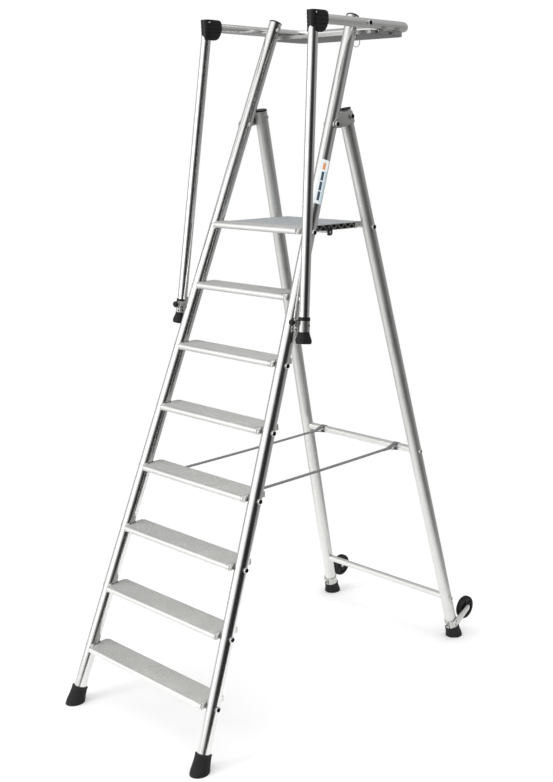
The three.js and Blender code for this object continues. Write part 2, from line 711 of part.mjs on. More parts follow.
function hoopStations() {
  const front = cornerPin.y + cornerBack + 4;
  const back = railPoint.y + railBackReach;
  const turn = railHalfWidth - railBendRadius;
  const stations = [{ place: point(railHalfWidth, front, railHeight), heading: point(0, 1, 0) }];
  const steps = 5;
  for (const [side] of [[1], [-1]]) {
    for (let step = 0; step <= steps; step += 1) {
      const angle = (side > 0 ? step : step + steps) * Math.PI / 2 / steps;
      const place = point(side * turn + railBendRadius * Math.cos(angle),
        back - railBendRadius + railBendRadius * Math.sin(angle), railHeight);
      stations.push({ place, heading: point(-Math.sin(angle), Math.cos(angle), 0) });
    }
  }
  stations.push({ place: point(-railHalfWidth, front, railHeight), heading: point(0, -1, 0) });
  return stations;
}

const tongueHalfHeight = Math.sqrt((railRadius - railWall / 2) ** 2 - tongueHalfWidth ** 2);

function guardRail() {
  const stations = hoopStations();
  const section = new THREE.Shape();
  section.absarc(0, 0, railRadius, 0, 2 * Math.PI, false);
  const bore = new THREE.Path();
  bore.absarc(0, 0, railRadius - railWall, 0, 2 * Math.PI, true);
  section.holes.push(bore);
  const settings = { steps: stations.length - 1, bevelEnabled: false, curveSegments: 9, extrudePath: new StationPath(stations) };
  const hoop = new THREE.ExtrudeGeometry(section, settings);
  const pieces = [hoop];
  const holes = [];
  for (const [side] of sides) {
    const tongue = new THREE.Shape();
    tongue.absarc(cornerPin.y, cornerPin.z, tongueHalfHeight, Math.PI / 2, 3 * Math.PI / 2, false);
    tongue.lineTo(cornerPin.y + cornerBack + 30, cornerPin.z - tongueHalfHeight);
    tongue.lineTo(cornerPin.y + cornerBack + 30, cornerPin.z + tongueHalfHeight);
    const centre = side * railHalfWidth;
    pieces.push(alongX(tongue, centre - tongueHalfWidth, centre + tongueHalfWidth, 4));
    holes.push(drill(point(centre, cornerPin.y, cornerPin.z), holeRadius, 30));
    holes.push(drill(point(centre, railPoint.y, railPoint.z), holeRadius, 30));
  }
  return cut(join(...pieces), ...holes);
}
const railFrame = new THREE.Matrix4().setPosition(railPoint);
addPart('guard_rail', guardRail(), polished, railFrame);

for (const [side, word] of sides) {
  const stile = frontAxis(side, railHeight);
  const headSeat = railHalfWidth + railRadius + 0.6;
  const spacerOuter = railHalfWidth - railRadius - 0.6;
  const spacerInner = stile.x * side + frontStileRadius + washerStandOff;
  const nutSeat = stile.x * side - frontStileRadius - washerStandOff;
  const { y, z } = railPoint;
  const shank = bar(point(side * (nutSeat - 1), y, z), point(side * (headSeat + 1), y, z), boltRadius, boltSegments);
  const spacer = bar(point(side * spacerInner, y, z), point(side * spacerOuter, y, z), 11, 12);
  const bolt = join(shank, spacer, boltHead(side, side * headSeat, y, z), nut(side, nutSeat, y, z));
  addPart(`rail_bolt_${word}`, bolt, steel, frameAlong(stile, alongBolts));
}

// ---------------------------------------------------------------- tool tray under the hoop

const trayHalfWidth = railHalfWidth - trayInset;
const trayBottom = railHeight - railRadius - 2 - trayDepth;
const eyeX = 0.7 * trayHalfWidth;
const eyeY = railPoint.y + trayFrontGap + 12;
const eyeDrop = 8;

function trayOutline(inset) {
  const half = trayHalfWidth - inset;
  const front = railPoint.y + trayFrontGap + inset;
  const back = railPoint.y + trayBackGap - inset;
  const round = 52 - inset;
  const outline = new THREE.Shape();
  outline.moveTo(-half, front);
  outline.lineTo(half, front);
  outline.lineTo(half, back - round);
  outline.absarc(half - round, back - round, round, 0, Math.PI / 2, false);
  outline.lineTo(-half + round, back);
  outline.absarc(-half + round, back - round, round, Math.PI / 2, Math.PI, false);
  return outline;
}

function tray() {
  const top = trayBottom + trayDepth;
  const pan = cut(alongZ(trayOutline(0), trayBottom, top), alongZ(trayOutline(traySheet), trayBottom + traySheet, top + 5));
  const pieces = [pan];
  for (const [side] of sides) {
    for (const reach of [70, 150]) {
      const y = railPoint.y + reach;
      const inner = side * (trayHalfWidth - traySheet / 2);
      const outer = side * (railHalfWidth + 4);
      pieces.push(box(point(Math.min(inner, outer), y, trayBottom + 4), point(Math.max(inner, outer), y + 26, railHeight - 8)));
    }
  }
  const eye = new THREE.Shape();
  eye.absarc(eyeY, trayBottom - eyeDrop, 5, Math.PI, 2 * Math.PI, false);
  eye.lineTo(eyeY + 5, trayBottom + 1);
  eye.lineTo(eyeY - 5, trayBottom + 1);
  pieces.push(alongX(eye, eyeX - 2, eyeX + 2));
  const tubes = sides.map(([side]) => bar(point(side * railHalfWidth, railPoint.y, railHeight),
    point(side * railHalfWidth, railPoint.y + 190, railHeight), railRadius + fitGap + 0.2, 28));
  return cut(join(...pieces), ...tubes, drill(point(eyeX, eyeY, trayBottom - eyeDrop), 2.6, 10));
}
const trayFrame = new THREE.Matrix4().setPosition(0, railPoint.y, trayBottom);
addPart('tray', tray(), greySheet, trayFrame);

// The pull ring hangs from the eye, its wire passing level through the hole.
const pullRadius = 18;
const pullWire = 1.5;
const pullPoint = point(eyeX, eyeY, trayBottom - eyeDrop);
const pull = new THREE.TorusGeometry(pullRadius, pullWire, 6, 20);
pull.rotateX(Math.PI / 2).translate(eyeX, eyeY, pullPoint.z - pullRadius);
addPart('lock_ring', pull, steel, new THREE.Matrix4().setPosition(pullPoint));

// ---------------------------------------------------------------- handrail legs

const legTopBelowPin = 22;
const sleeveBelow = 47;            // clamp sleeve bottom below the clamp centre
const legEndHeight = clampHeight - legBelowClamp;

for (const [side, word] of sides) {
  const direction = legDirection(side);
  const pin = point(side * cornerPin.x, cornerPin.y, cornerPin.z);
  const top = legAxis(side, cornerPin.z - legTopBelowPin);
  const end = legAxis(side, legEndHeight);
  const legFrame = frameAlong(top, direction);
  const leg = pipe(top, end, legRadius, legRadius - legWall, 20);
  addPart(`handrail_leg_${word}`, leg, polished, legFrame);

  // Corner housing: round front, open slot for the rail's tongue, bore for the leg.
  const half = cornerWidth / 2;
  const plan = new THREE.Shape();
  plan.absarc(pin.x, pin.y, half, Math.PI, 2 * Math.PI, false);
  plan.lineTo(pin.x + half, pin.y + cornerBack + 10);
  plan.lineTo(pin.x - half, pin.y + cornerBack + 10);
  const block = alongZ(plan, pin.z + 28 - cornerHeight, pin.z + 28, 5);
  const base = 28 - cornerHeight;
  const lobe = new THREE.Shape();
  lobe.moveTo(-half - 1, base);
  lobe.lineTo(half, base);
  lobe.quadraticCurveTo(cornerBack - 9, base + 7, cornerBack, -6);
  lobe.lineTo(cornerBack, 10);
  lobe.quadraticCurveTo(cornerBack - 1, 26, cornerBack - 15, 28);
  lobe.lineTo(-half - 1, 28);
  const swing = alongX(lobe, pin.x - half - 5, pin.x + half + 5, 4).translate(0, pin.y, pin.z);
  const slotHalf = tongueHalfWidth + 0.5;
  const slot = box(point(pin.x - slotHalf, pin.y - tongueHalfHeight - 1.5, pin.z - tongueHalfHeight - 1.5),
    point(pin.x + slotHalf, pin.y + 100, pin.z + 60));
  const bore = bar(alongAxis(top, direction, -fitGap), alongAxis(top, direction, 90), legRadius + fitGap, 20);
  const pinBar = bar(point(pin.x - half + 3, pin.y, pin.z), point(pin.x + half - 3, pin.y, pin.z), boltRadius, boltSegments);
  const housing = join(cut(common(block, swing), slot, bore), pinBar);
  addPart(`corner_block_${word}`, housing, blackPlastic, new THREE.Matrix4().setPosition(pin));

  // Clamp: a sleeve and collar round the leg, an ear to the stile lug, a lug for the knob screw.
  const centre = legAxis(side, clampHeight);
  const sleeveLow = legAxis(side, clampHeight - sleeveBelow);
  const collarBase = legAxis(side, clampHeight - 5);
  const collarTop = legAxis(side, clampHeight + 8);
  const sleeve = bar(sleeveLow, collarBase, legRadius + 2.6, 20);
  const collar = bar(legAxis(side, clampHeight - 6), collarTop, legRadius + 3.4, 20);
  const inwards = distance => centre.x - side * distance;
  const spanBox = (nearX, farX, y0, y1, z0, z1) => box(
    point(Math.min(nearX, farX), y0, z0), point(Math.max(nearX, farX), y1, z1));
  const ear = spanBox(side * (clampFace + fitGap), inwards(legRadius - 7), centre.y - 4, centre.y + 33,
    clampHeight - 23, clampHeight + 16);
  const knobLug = spanBox(inwards(23), inwards(10), centre.y - 32, centre.y - 8, clampHeight - sleeveBelow + 3, clampHeight + 1);
  const legRoom = bar(legAxis(side, clampHeight + 60), legAxis(side, clampHeight - 90), legRadius + fitGap, 20);
  const screwX = inwards(17);
  const screwZ = clampHeight - 8;
  const screwHole = bar(point(screwX, centre.y - 40, screwZ), point(screwX, centre.y - 22, screwZ), 3.6, boltSegments);
  const clamp = cut(join(sleeve, collar, ear, knobLug), legRoom, screwHole);
  addPart(`handrail_clamp_${word}`, clamp, satin, frameAlong(centre, direction));

  const screw = bar(point(screwX, centre.y - 40, screwZ), point(screwX, centre.y - 23, screwZ), 3, boltSegments);
  const knobFace = point(screwX, centre.y - 37, screwZ);
  const knobShape = [[0, 0], [8, 0], [12.5, 4], [12.5, 14], [9, 18], [0, 18]];
  const knob = join(screw, turned(knobFace, point(0, -1, 0), knobShape, 14));
  addPart(`knob_${word}`, knob, blackPlastic, frameAlong(knobFace, point(0, -1, 0)));

  // Flared rubber tip at the leg's end.
  const tipStart = alongAxis(end, direction, -18 + fitGap);
  const tipShape = [[legRadius + fitGap, 0], [legRadius + 3.5, 0], [legRadius + 12, 30], [legRadius + 12, 38], [legRadius + 9, 44], [0, 44], [0, 18], [legRadius + fitGap, 18],
    [legRadius + fitGap, 0]];
  addPart(`leg_tip_${word}`, turned(tipStart, direction, tipShape, 20), blackRubber, frameAlong(tipStart, direction));
}

// The middle of the footprint goes to y = 0.
const span = new THREE.Box3().setFromObject(assembly, true);
ladder.position.y = -(span.min.y + span.max.y) / 2;

export default assembly;
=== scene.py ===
import math

import bmesh
import bpy
from mathutils import Matrix, Vector


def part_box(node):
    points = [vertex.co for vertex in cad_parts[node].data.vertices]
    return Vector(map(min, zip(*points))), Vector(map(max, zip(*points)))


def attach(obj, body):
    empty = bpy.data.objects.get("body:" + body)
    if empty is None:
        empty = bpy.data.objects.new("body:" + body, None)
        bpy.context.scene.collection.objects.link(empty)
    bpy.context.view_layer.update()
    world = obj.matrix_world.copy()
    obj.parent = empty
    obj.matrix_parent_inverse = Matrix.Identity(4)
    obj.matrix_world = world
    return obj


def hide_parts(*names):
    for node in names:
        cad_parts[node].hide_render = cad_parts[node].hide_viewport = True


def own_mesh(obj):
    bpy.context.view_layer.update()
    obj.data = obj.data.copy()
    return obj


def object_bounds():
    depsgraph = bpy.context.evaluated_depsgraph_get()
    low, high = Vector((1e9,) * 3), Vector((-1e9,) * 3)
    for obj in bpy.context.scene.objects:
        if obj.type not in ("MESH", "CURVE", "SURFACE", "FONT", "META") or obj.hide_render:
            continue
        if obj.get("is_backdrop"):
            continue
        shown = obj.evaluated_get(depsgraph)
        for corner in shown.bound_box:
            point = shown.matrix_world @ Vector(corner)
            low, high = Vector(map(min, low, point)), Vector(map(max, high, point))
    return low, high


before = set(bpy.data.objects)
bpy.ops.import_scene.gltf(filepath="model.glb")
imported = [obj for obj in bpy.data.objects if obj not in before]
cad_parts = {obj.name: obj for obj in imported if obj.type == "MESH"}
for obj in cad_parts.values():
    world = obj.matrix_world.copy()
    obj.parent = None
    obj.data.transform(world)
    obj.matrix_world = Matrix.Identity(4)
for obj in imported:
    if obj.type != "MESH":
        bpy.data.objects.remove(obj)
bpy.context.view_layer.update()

MM = 0.001
SIDES = ((-1, "left"), (1, "right"))
X, Y, Z = Vector((1, 0, 0)), Vector((0, 1, 0)), Vector((0, 0, 1))

# lengths in millimetres, places as (y, z)
STEPS, RISE, RUN, ROD_DROP = 7, 240.0, 94.56, 17
STILE_WALL, FOOT_PLUG = 2.2, 14.3
HINGE, HOOP_PIN = (108.96, 2300), (255.53, 2672)
HOOP_HALF, LEG_PIN = 297.84, -26.47

# in metres: how far a front stile goes in and back for each metre up, and the frame's own shift along Y
FRONT_LEAN, FRONT_RAKE = 0.0678, 0.394
DEPTH_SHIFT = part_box("tread_1")[0].y - 49.56 * MM


def mm(x, y, z):
    return Vector((x, y, z)) * MM


def shift(x, y, z):
    return Matrix.Translation(mm(x, y, z))


def front_axis(side, z):
    return Vector((side * (0.4 - FRONT_LEAN * z), FRONT_RAKE * z + DEPTH_SHIFT, z))


def rear_axis(side, z):
    return Vector((side * (0.24306 + 0.066 * (2.3 - z)), 0.9982 + 0.2228 * (2.3 - z) + DEPTH_SHIFT, z))


def leg_axis(side, z):
    return Vector((side * (0.29784 + 0.0588 * (2.672 - z)), -0.02647 - 0.1347 * (2.672 - z), z))


def placed(origin, direction, hint=X):
    """A frame at origin whose Z runs along direction and whose X is as near hint as it can be."""
    w = direction.normalized()
    u = (hint - w * hint.dot(w)).normalized()
    v = w.cross(u)
    m = Matrix((u, v, w)).transposed().to_4x4()
    m.translation = origin
    return m


def in_mm(matrix):
    """The same turn and place for a shape still in millimetres."""
    out = matrix.copy()
    out.translation = matrix.translation / MM
    return out


def between(side, a, b):
    """Two distances from the middle plane, as low and high on one side of it."""
    return sorted((side * a, side * b))


# ---------------------------------------------------------------- shapes, in millimetres

def lathe(profile, n, closed=False, ripple=None):
    """Turns (r, z) or (r, z, corners) points round Z. closed joins the last to the first."""
    verts, rings = [], []
    for p in profile:
        r, z = p[0], p[1]
        corners = p[2] if len(p) > 2 else 0
        if r < 1e-6:
            rings.append([len(verts)])
            verts.append((0.0, 0.0, z))
            continue
        ring = []
        for i in range(n):
            a = 2 * math.pi * i / n
            q = r
            if corners:
                step = 2 * math.pi / corners
                q = r * math.cos(step / 2) / math.cos((a % step) - step / 2)
            if ripple:
                q += ripple(a, r, z)
            ring.append(len(verts))
            verts.append((q * math.cos(a), q * math.sin(a), z))
        rings.append(ring)
    faces = []
    pairs = list(zip(rings, rings[1:])) + ([(rings[-1], rings[0])] if closed else [])
    for a, b in pairs:
        for i in range(n):
            j = (i + 1) % n
            if len(a) == 1 and len(b) == 1:
                continue
            if len(a) == 1:
                faces.append((a[0], b[j], b[i]))
            elif len(b) == 1:
                faces.append((a[i], a[j], b[0]))
            else:
                faces.append((a[i], a[j], b[j], b[i]))
    return verts, faces


def loft(outlines):
    """Joins outlines of 3-D points, all with the same count, and caps both ends."""
    n = len(outlines[0])
    verts = [tuple(p) for outline in outlines for p in outline]
    faces = []
    for k in range(len(outlines) - 1):
        for i in range(n):
            j = (i + 1) % n
            faces.append((k * n + i, k * n + j, (k + 1) * n + j, (k + 1) * n + i))
    faces.append(tuple(reversed(range(n))))
    faces.append(tuple(range((len(outlines) - 1) * n, len(outlines) * n)))
    return verts, faces


def along_x(outline, low, high):
    return loft([[(x, p[0], p[1]) for p in outline] for x in (low, high)])


def along_y(outline, low, high):
    return loft([[(p[0], y, p[1]) for p in outline] for y in (low, high)])


def along_z(outline, low, high):
    return loft([[(p[0], p[1], z) for p in outline] for z in (low, high)])


def box(x0, x1, y0, y1, z0, z1):
    return along_z([(x0, y0), (x1, y0), (x1, y1), (x0, y1)], min(z0, z1), max(z0, z1))


def arc(cx, cy, r, start, end, steps):
    out = []
    for i in range(steps + 1):
        a = math.radians(start + (end - start) * i / steps)
        out.append((cx + r * math.cos(a), cy + r * math.sin(a)))
    return out


def sweep(points, section, normal, closed=False):
    """Carries a section, given as (sideways, along normal), along a path in a plane."""
    n = len(points)
    rings = []
    for i, p in enumerate(points):
        before = points[(i - 1) % n] if closed or i else points[i]
        after = points[(i + 1) % n] if closed or i < n - 1 else points[i]
        t = (after - before).normalized()
        s = t.cross(normal).normalized()
        rings.append([p + s * q[0] + normal * q[1] for q in section])
    if closed:
        m = len(section)
        verts = [tuple(v) for ring in rings for v in ring]
        faces = []
        for k in range(n):
            q = (k + 1) % n
            for i in range(m):
                j = (i + 1) % m
                faces.append((k * m + i, k * m + j, q * m + j, q * m + i))
        return verts, faces
    return loft(rings)


def circle(r, n):
    return [(r * math.cos(2 * math.pi * i / n), r * math.sin(2 * math.pi * i / n)) for i in range(n)]


def soften(shape, width, segments=2, limit=40):
    """Rounds the edges of a shape that are sharper than limit degrees."""
    bm = bmesh.new()
    verts = [bm.verts.new(v) for v in shape[0]]
    for f in shape[1]:
        bm.faces.new([verts[i] for i in f])
    bmesh.ops.recalc_face_normals(bm, faces=bm.faces[:])
    sharp = [e for e in bm.edges if len(e.link_faces) == 2
             and e.calc_face_angle(0) > math.radians(limit)]
    bmesh.ops.bevel(bm, geom=sharp, offset=width, offset_type="OFFSET", segments=segments,
                    profile=0.5, affect="EDGES", clamp_overlap=True)
    bm.verts.index_update()
    out = [tuple(v.co) for v in bm.verts], [tuple(v.index for v in f.verts) for f in bm.faces]
    bm.free()
    return out


class Piece:
    """Gathers shapes into one mesh, in the piece's own frame."""

    def __init__(self, at):
        self.at = at
        self.verts, self.faces, self.mats = [], [], []

    def add(self, shape, material=0, local=None):
        n = len(self.verts)
        for v in shape[0]:
            self.verts.append(tuple(local @ Vector(v)) if local else tuple(v))
        self.faces += [tuple(i + n for i in f) for f in shape[1]]
        self.mats += [material] * len(shape[1])
        return self

    def turned(self, profile, n, at, way, material=0, hint=Z, closed=False):
        """Adds a lathed shape that stands at a place and points along way."""
        return self.add(lathe(profile, n, closed=closed), material, placed(Vector(at), way, hint))

    def make(self, name, body, slot, materials, replaces, sharp=32, cut_floor=False):
        bm = bmesh.new()
        verts = [bm.verts.new(Vector(v) * MM) for v in self.verts]
        for f, m in zip(self.faces, self.mats):
            face = bm.faces.new([verts[i] for i in f])
            face.material_index = m
            face.smooth = True
        bm.normal_update()
        bmesh.ops.recalc_face_normals(bm, faces=bm.faces[:])
        if cut_floor:
            back = self.at.inverted()
            made = bmesh.ops.bisect_plane(
                bm, geom=bm.verts[:] + bm.edges[:] + bm.faces[:],
                plane_co=back @ self.at.translation.xy.to_3d(), plane_no=(back.to_3x3() @ Z),
                clear_inner=True)
            edges = [g for g in made["geom_cut"] if isinstance(g, bmesh.types.BMEdge)]
            bmesh.ops.contextual_create(bm, geom=edges)
            bmesh.ops.recalc_face_normals(bm, faces=bm.faces[:])
        mesh = bpy.data.meshes.new(name)
        bm.to_mesh(mesh)
        bm.free()
        for material in materials:
            mesh.materials.append(material)
        mesh.set_sharp_from_angle(angle=math.radians(sharp))
        obj = bpy.data.objects.new(name, mesh)
        bpy.context.scene.collection.objects.link(obj)
        obj.matrix_world = self.at
        bpy.context.view_layer.update()
        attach(obj, body)
        if replaces:
            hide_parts(*replaces)
        return obj


# ---------------------------------------------------------------- materials

def graph(name, base, rough, metal=0.0, **sockets):
    m = bpy.data.materials.new(name)
    m.use_nodes = True
    tree = m.node_tree
    bsdf = tree.nodes["Principled BSDF"]
    bsdf.inputs["Base Color"].default_value = (*base, 1)
    bsdf.inputs["Roughness"].default_value = rough
    bsdf.inputs["Metallic"].default_value = metal
    for key, value in sockets.items():
        bsdf.inputs[key.replace("_", " ")].default_value = value
    return m, tree, bsdf


def node(tree, kind, **values):
    n = tree.nodes.new(kind)
    for key, value in values.items():
        if key in n.inputs:
            n.inputs[key].default_value = value
        else:
            setattr(n, key, value)
    return n


def noise(tree, scale, stretch, detail, roughness=0.5):
    """Noise on the piece's own coordinates, in metres, stretched along its axes."""
    coord = node(tree, "ShaderNodeTexCoord")
    mapping = node(tree, "ShaderNodeMapping")
    mapping.inputs["Scale"].default_value = stretch
    tex = node(tree, "ShaderNodeTexNoise")
    tex.inputs["Scale"].default_value = scale
    tex.inputs["Detail"].default_value = detail
    tex.inputs["Roughness"].default_value = roughness
    tree.links.new(coord.outputs["Object"], mapping.inputs["Vector"])
    tree.links.new(mapping.outputs["Vector"], tex.inputs["Vector"])
    return tex.outputs["Fac"]


def ramp(tree, source, stops):
    r = node(tree, "ShaderNodeValToRGB")
    elements = r.color_ramp.elements
    while len(elements) < len(stops):
        elements.new(0.5)
    for element, (place, value) in zip(elements, stops):
        element.position = place
        element.color = (*value, 1) if isinstance(value, tuple) else (value, value, value, 1)
    tree.links.new(source, r.inputs["Fac"])
    return r.outputs["Color"]


def span(tree, source, low, high):
    r = node(tree, "ShaderNodeMapRange")
    r.inputs["To Min"].default_value = low
    r.inputs["To Max"].default_value = high
    r.inputs["From Min"].default_value = 0.3
    r.inputs["From Max"].default_value = 0.7
    tree.links.new(source, r.inputs["Value"])
    return r.outputs["Result"]


def tint(tree, bsdf, source, stops):
    tree.links.new(ramp(tree, source, stops), bsdf.inputs["Base Color"])


def roughen(tree, bsdf, source, low, high):
    tree.links.new(span(tree, source, low, high), bsdf.inputs["Roughness"])


def blend(tree, a, share_a, b, share_b):
    """The weighted sum of two patterns."""
    total = node(tree, "ShaderNodeMath", operation="MULTIPLY_ADD")
    tree.links.new(a, total.inputs[0])
    total.inputs[1].default_value = share_a
    part = node(tree, "ShaderNodeMath", operation="MULTIPLY")
    tree.links.new(b, part.inputs[0])
    part.inputs[1].default_value = share_b
    tree.links.new(part.outputs[0], total.inputs[2])
    return total.outputs[0]


def bump(tree, bsdf, source, distance):
    b = node(tree, "ShaderNodeBump")
    b.inputs["Distance"].default_value = distance
    b.inputs["Strength"].default_value = 1.0
    tree.links.new(source, b.inputs["Height"])
    tree.links.new(b.outputs["Normal"], bsdf.inputs["Normal"])


def metal(name, colour, rough, spread, streak, scale, depth, anisotropic=0.0):
    """Drawn or brushed aluminium: fine streaks along one axis, and broad soft smudges."""
    m, tree, bsdf = graph(name, colour, rough, 1.0, Anisotropic=anisotropic)
    lines = noise(tree, scale, streak, 2.0)
    smudge = noise(tree, 9, (1, 1, 1), 4.0, 0.6)
    both = blend(tree, smudge, 0.6, lines, 0.4)
    roughen(tree, bsdf, both, rough - spread, rough + spread)
    tint(tree, bsdf, both, [(0.3, tuple(c * 0.93 for c in colour)), (0.7, colour)])
    bump(tree, bsdf, lines, depth)
    return m


ALONG_Z, ALONG_X = (1, 1, 0.004), (0.004, 1, 1)
POLISHED = metal("polished_tube", (0.86, 0.86, 0.85), 0.2, 0.05, ALONG_Z, 900, 0.00001, 0.35)
SATIN_TUBE = metal("satin_tube", (0.85, 0.85, 0.83), 0.5, 0.06, ALONG_Z, 900, 0.00002)
FITTING = metal("satin_fitting", (0.64, 0.64, 0.62), 0.4, 0.08, (1, 1, 1), 700, 0.00003)
RIBBED = metal("ribbed_tread", (0.93, 0.93, 0.91), 0.46, 0.06, ALONG_X, 1100, 0.00003)
# darker metal for the groove floors between the tread ribs: painted shade in the grooves
GROOVE_SHADE = metal("tread_groove_shade", (0.68, 0.68, 0.66), 0.5, 0.08, ALONG_X, 1100, 0.00003)
CAST = metal("cast_end", (0.84, 0.84, 0.82), 0.42, 0.07, (1, 1, 1), 1500, 0.00004)
STEEL = metal("steel_bolt", (0.82, 0.82, 0.81), 0.27, 0.07, (1, 1, 1), 1200, 0.00001)
WIRE = metal("ring_wire", (0.42, 0.42, 0.41), 0.32, 0.07, (1, 1, 1), 1200, 0.00001)


def deck_material():
    """Coated deck: blue-grey, speckled, with a light rubbed look."""
    m, tree, bsdf = graph("deck_sheet", (0.3, 0.34, 0.37), 0.5, 0.55)
    speck = noise(tree, 1400, (1, 1, 1), 2.0)
    wear = noise(tree, 22, (1, 2.5, 1), 5.0, 0.65)
    both = blend(tree, speck, 0.45, wear, 0.55)
    tint(tree, bsdf, both, [(0.35, (0.4, 0.435, 0.455)), (0.5, (0.54, 0.575, 0.595)),
                            (0.66, (0.7, 0.73, 0.745))])
    roughen(tree, bsdf, both, 0.4, 0.6)
    bump(tree, bsdf, speck, 0.00012)
    return m


def plastic(name, colour, rough, scale, depth, dust=1.35):
    m, tree, bsdf = graph(name, colour, rough, 0.0, Specular_IOR_Level=0.28)
    grain = noise(tree, scale, (1, 1, 1), 3.0, 0.6)
    patch = noise(tree, 30, (1, 1, 1), 5.0, 0.6)
    clean, dusty = tuple(c * 0.85 for c in colour), tuple(c * dust for c in colour)
    tint(tree, bsdf, patch, [(0.35, clean), (0.68, dusty)])
    roughen(tree, bsdf, patch, rough - 0.08, rough + 0.08)
    bump(tree, bsdf, grain, depth)
    return m


DECK = deck_material()
TRAY = metal("tray_sheet", (0.33, 0.33, 0.33), 0.42, 0.06, (1, 1, 1), 800, 0.00003)
FLANGE = metal("tray_flange", (0.54, 0.54, 0.53), 0.36, 0.06, ALONG_X, 800, 0.00002)
BLACK = plastic("black_plastic", (0.009, 0.009, 0.0095), 0.42, 1600, 0.00006)
WHEEL = plastic("wheel_plastic", (0.009, 0.009, 0.0095), 0.4, 1300, 0.00005)
RUBBER = plastic("black_rubber", (0.0095, 0.0095, 0.0095), 0.6, 1800, 0.0001, 1.6)
# near-black: painted shade for the insides of bolt sockets, holes, slots and the deck's hollow cells
HOLE_SHADE = plastic("painted_hole_shade", (0.006, 0.006, 0.006), 0.7, 900, 0.00002)


def webbing_material():
    m, tree, bsdf = graph("webbing", (0.12, 0.12, 0.125), 0.8, 0.0, Sheen_Weight=0.25, Sheen_Roughness=0.5)
    coord = node(tree, "ShaderNodeTexCoord")
    split = node(tree, "ShaderNodeSeparateXYZ")
    tree.links.new(coord.outputs["Object"], split.inputs[0])

    def math_node(kind, a, b):
        n = node(tree, "ShaderNodeMath", operation=kind)
        for i, value in enumerate((a, b)):
            if isinstance(value, (int, float)):
                n.inputs[i].default_value = value
            elif value is not None:
                tree.links.new(value, n.inputs[i])
        return n.outputs[0]

    x, y = split.outputs["X"], split.outputs["Y"]
    fold = math_node("PINGPONG", x, 0.003)
    ridge = math_node("SINE", math_node("MULTIPLY", math_node("ADD", y, fold), 2 * math.pi / 0.0016), None)
    rib = math_node("SINE", math_node("MULTIPLY", x, 2 * math.pi / 0.0016), None)
    weave = math_node("MULTIPLY_ADD", math_node("MULTIPLY", ridge, math_node("ADD", rib, 1.6)), 0.2)
    tint(tree, bsdf, weave, [(0.2, (0.075, 0.075, 0.08)), (0.8, (0.17, 0.17, 0.175))])
    bump(tree, bsdf, weave, 0.0002)
    return m


WEBBING = webbing_material()
THREAD = plastic("stitch_thread", (0.42, 0.42, 0.42), 0.7, 2500, 0.00005)


def film(name, colour):
    """Printed label film, a little worn."""
    m, tree, bsdf = graph(name, colour, 0.36)
    worn = noise(tree, 240, (1, 1, 0.5), 4.0)
    tint(tree, bsdf, worn, [(0.3, tuple(c * 0.85 for c in colour)), (0.6, colour)])
    roughen(tree, bsdf, worn, 0.3, 0.45)
    return m


# ---------------------------------------------------------------- tubes

def tube(name, body, slot, material, start, end, outer, inner, replaces, n=96):
    length = (end - start).length / MM
    edge = (outer - inner) / 3
    profile = [(outer - edge, 0), (outer, edge), (outer, length - edge), (outer - edge, length),
               (inner + edge, length), (inner, length - edge), (inner, edge), (inner + edge, 0)]
    Piece(placed(start, end - start)).add(lathe(profile, n, closed=True)).make(
        name, body, slot, [material], replaces)


def rubber_foot(name, node_name, body, axis, side, length, sole, neck, bore):
    base = axis(side, 0)
    at = placed(base, axis(side, 1) - base)

    def ribs(a, r, z):
        if r < bore + 2 or z < 4 or z > length - 6:
            return 0.0
        return 1.1 * (abs(math.sin(a * 15)) ** 0.6 - 1)

    steps = 9
    profile = [(0, -24), (sole, -24), (sole, 2.5), (sole - 1.2, 3.2), (sole - 1.2, 4.2), (sole - 0.1, 5.0)]
    for i in range(steps + 1):
        t = i / steps
        profile.append((sole + (neck - sole) * (1 - (1 - t) ** 1.5), 7 + (length - 14) * t))
    profile += [(neck + 0.2, length - 4.5), (neck + 0.9, length - 3.5), (neck + 0.9, length - 1),
                (neck, length), (bore + 1, length), (bore + 0.1, length - 1.5),
                (bore + 0.1, FOOT_PLUG), (0, FOOT_PLUG)]
    level = Matrix.Translation(base)
    piece = Piece(level).add(lathe(profile, 120, ripple=ribs), 0, in_mm(level.inverted() @ at))
    piece.make(name, body, "black_rubber", [RUBBER], (node_name,), sharp=40, cut_floor=True)


def end_cap(name, node_name, body, top, direction, radius):
    r = radius + 0.8
    inside = radius - STILE_WALL - 0.2
    profile = [(0, -14), (inside - 1, -14), (inside, -13), (inside, 0.1), (r - 0.4, 0.1), (r, 0.5),
               (r, 2.6), (r - 0.7, 4.0), (r - 2.2, 5.1), (r - 4.5, 5.4), (r - 7, 5.1), (0, 4.8)]
    level = Matrix.Translation(top)
    Piece(level).add(lathe(profile, 72), 0, in_mm(level.inverted() @ placed(top, direction))).make(
        name, body, "black_plastic", [BLACK], (node_name,))


def stile(kind, side, word, axis, top, radius, slot, material, foot):
    """A tube from the floor to a height in metres, with its cap and its rubber foot."""
    body = f"{kind}_frame"
    floor = axis(side, 0)
    direction = (axis(side, 1) - floor).normalized()
    tube(f"stile_{kind}_{word}", body, slot, material, floor + direction * FOOT_PLUG * MM,
         axis(side, top), radius, radius - STILE_WALL, (f"{kind}_stile_{word}",))
    end_cap(f"stile_{kind}_plug_{word}", f"{kind}_stile_cap_{word}", body, axis(side, top),
            direction, radius)
    rubber_foot(f"boot_{kind}_{word}", f"{kind}_foot_{word}", body, axis, side, *foot, radius)


for side, word in SIDES:
    stile("front", side, word, front_axis, 2.7, 25, "polished_tube", POLISHED, (70, 37, 31))
    stile("rear", side, word, rear_axis, 2.355, 26, "satin_tube", SATIN_TUBE, (50, 38, 32.5))

# ---------------------------------------------------------------- bolts

HEAD_DEPTH = 6.0
NUT = [(5, 0, 6), (8.6, 0, 6), (9.2, 0.7, 6), (9.2, 6.3, 6), (8.6, 7, 6), (5, 7, 6)]


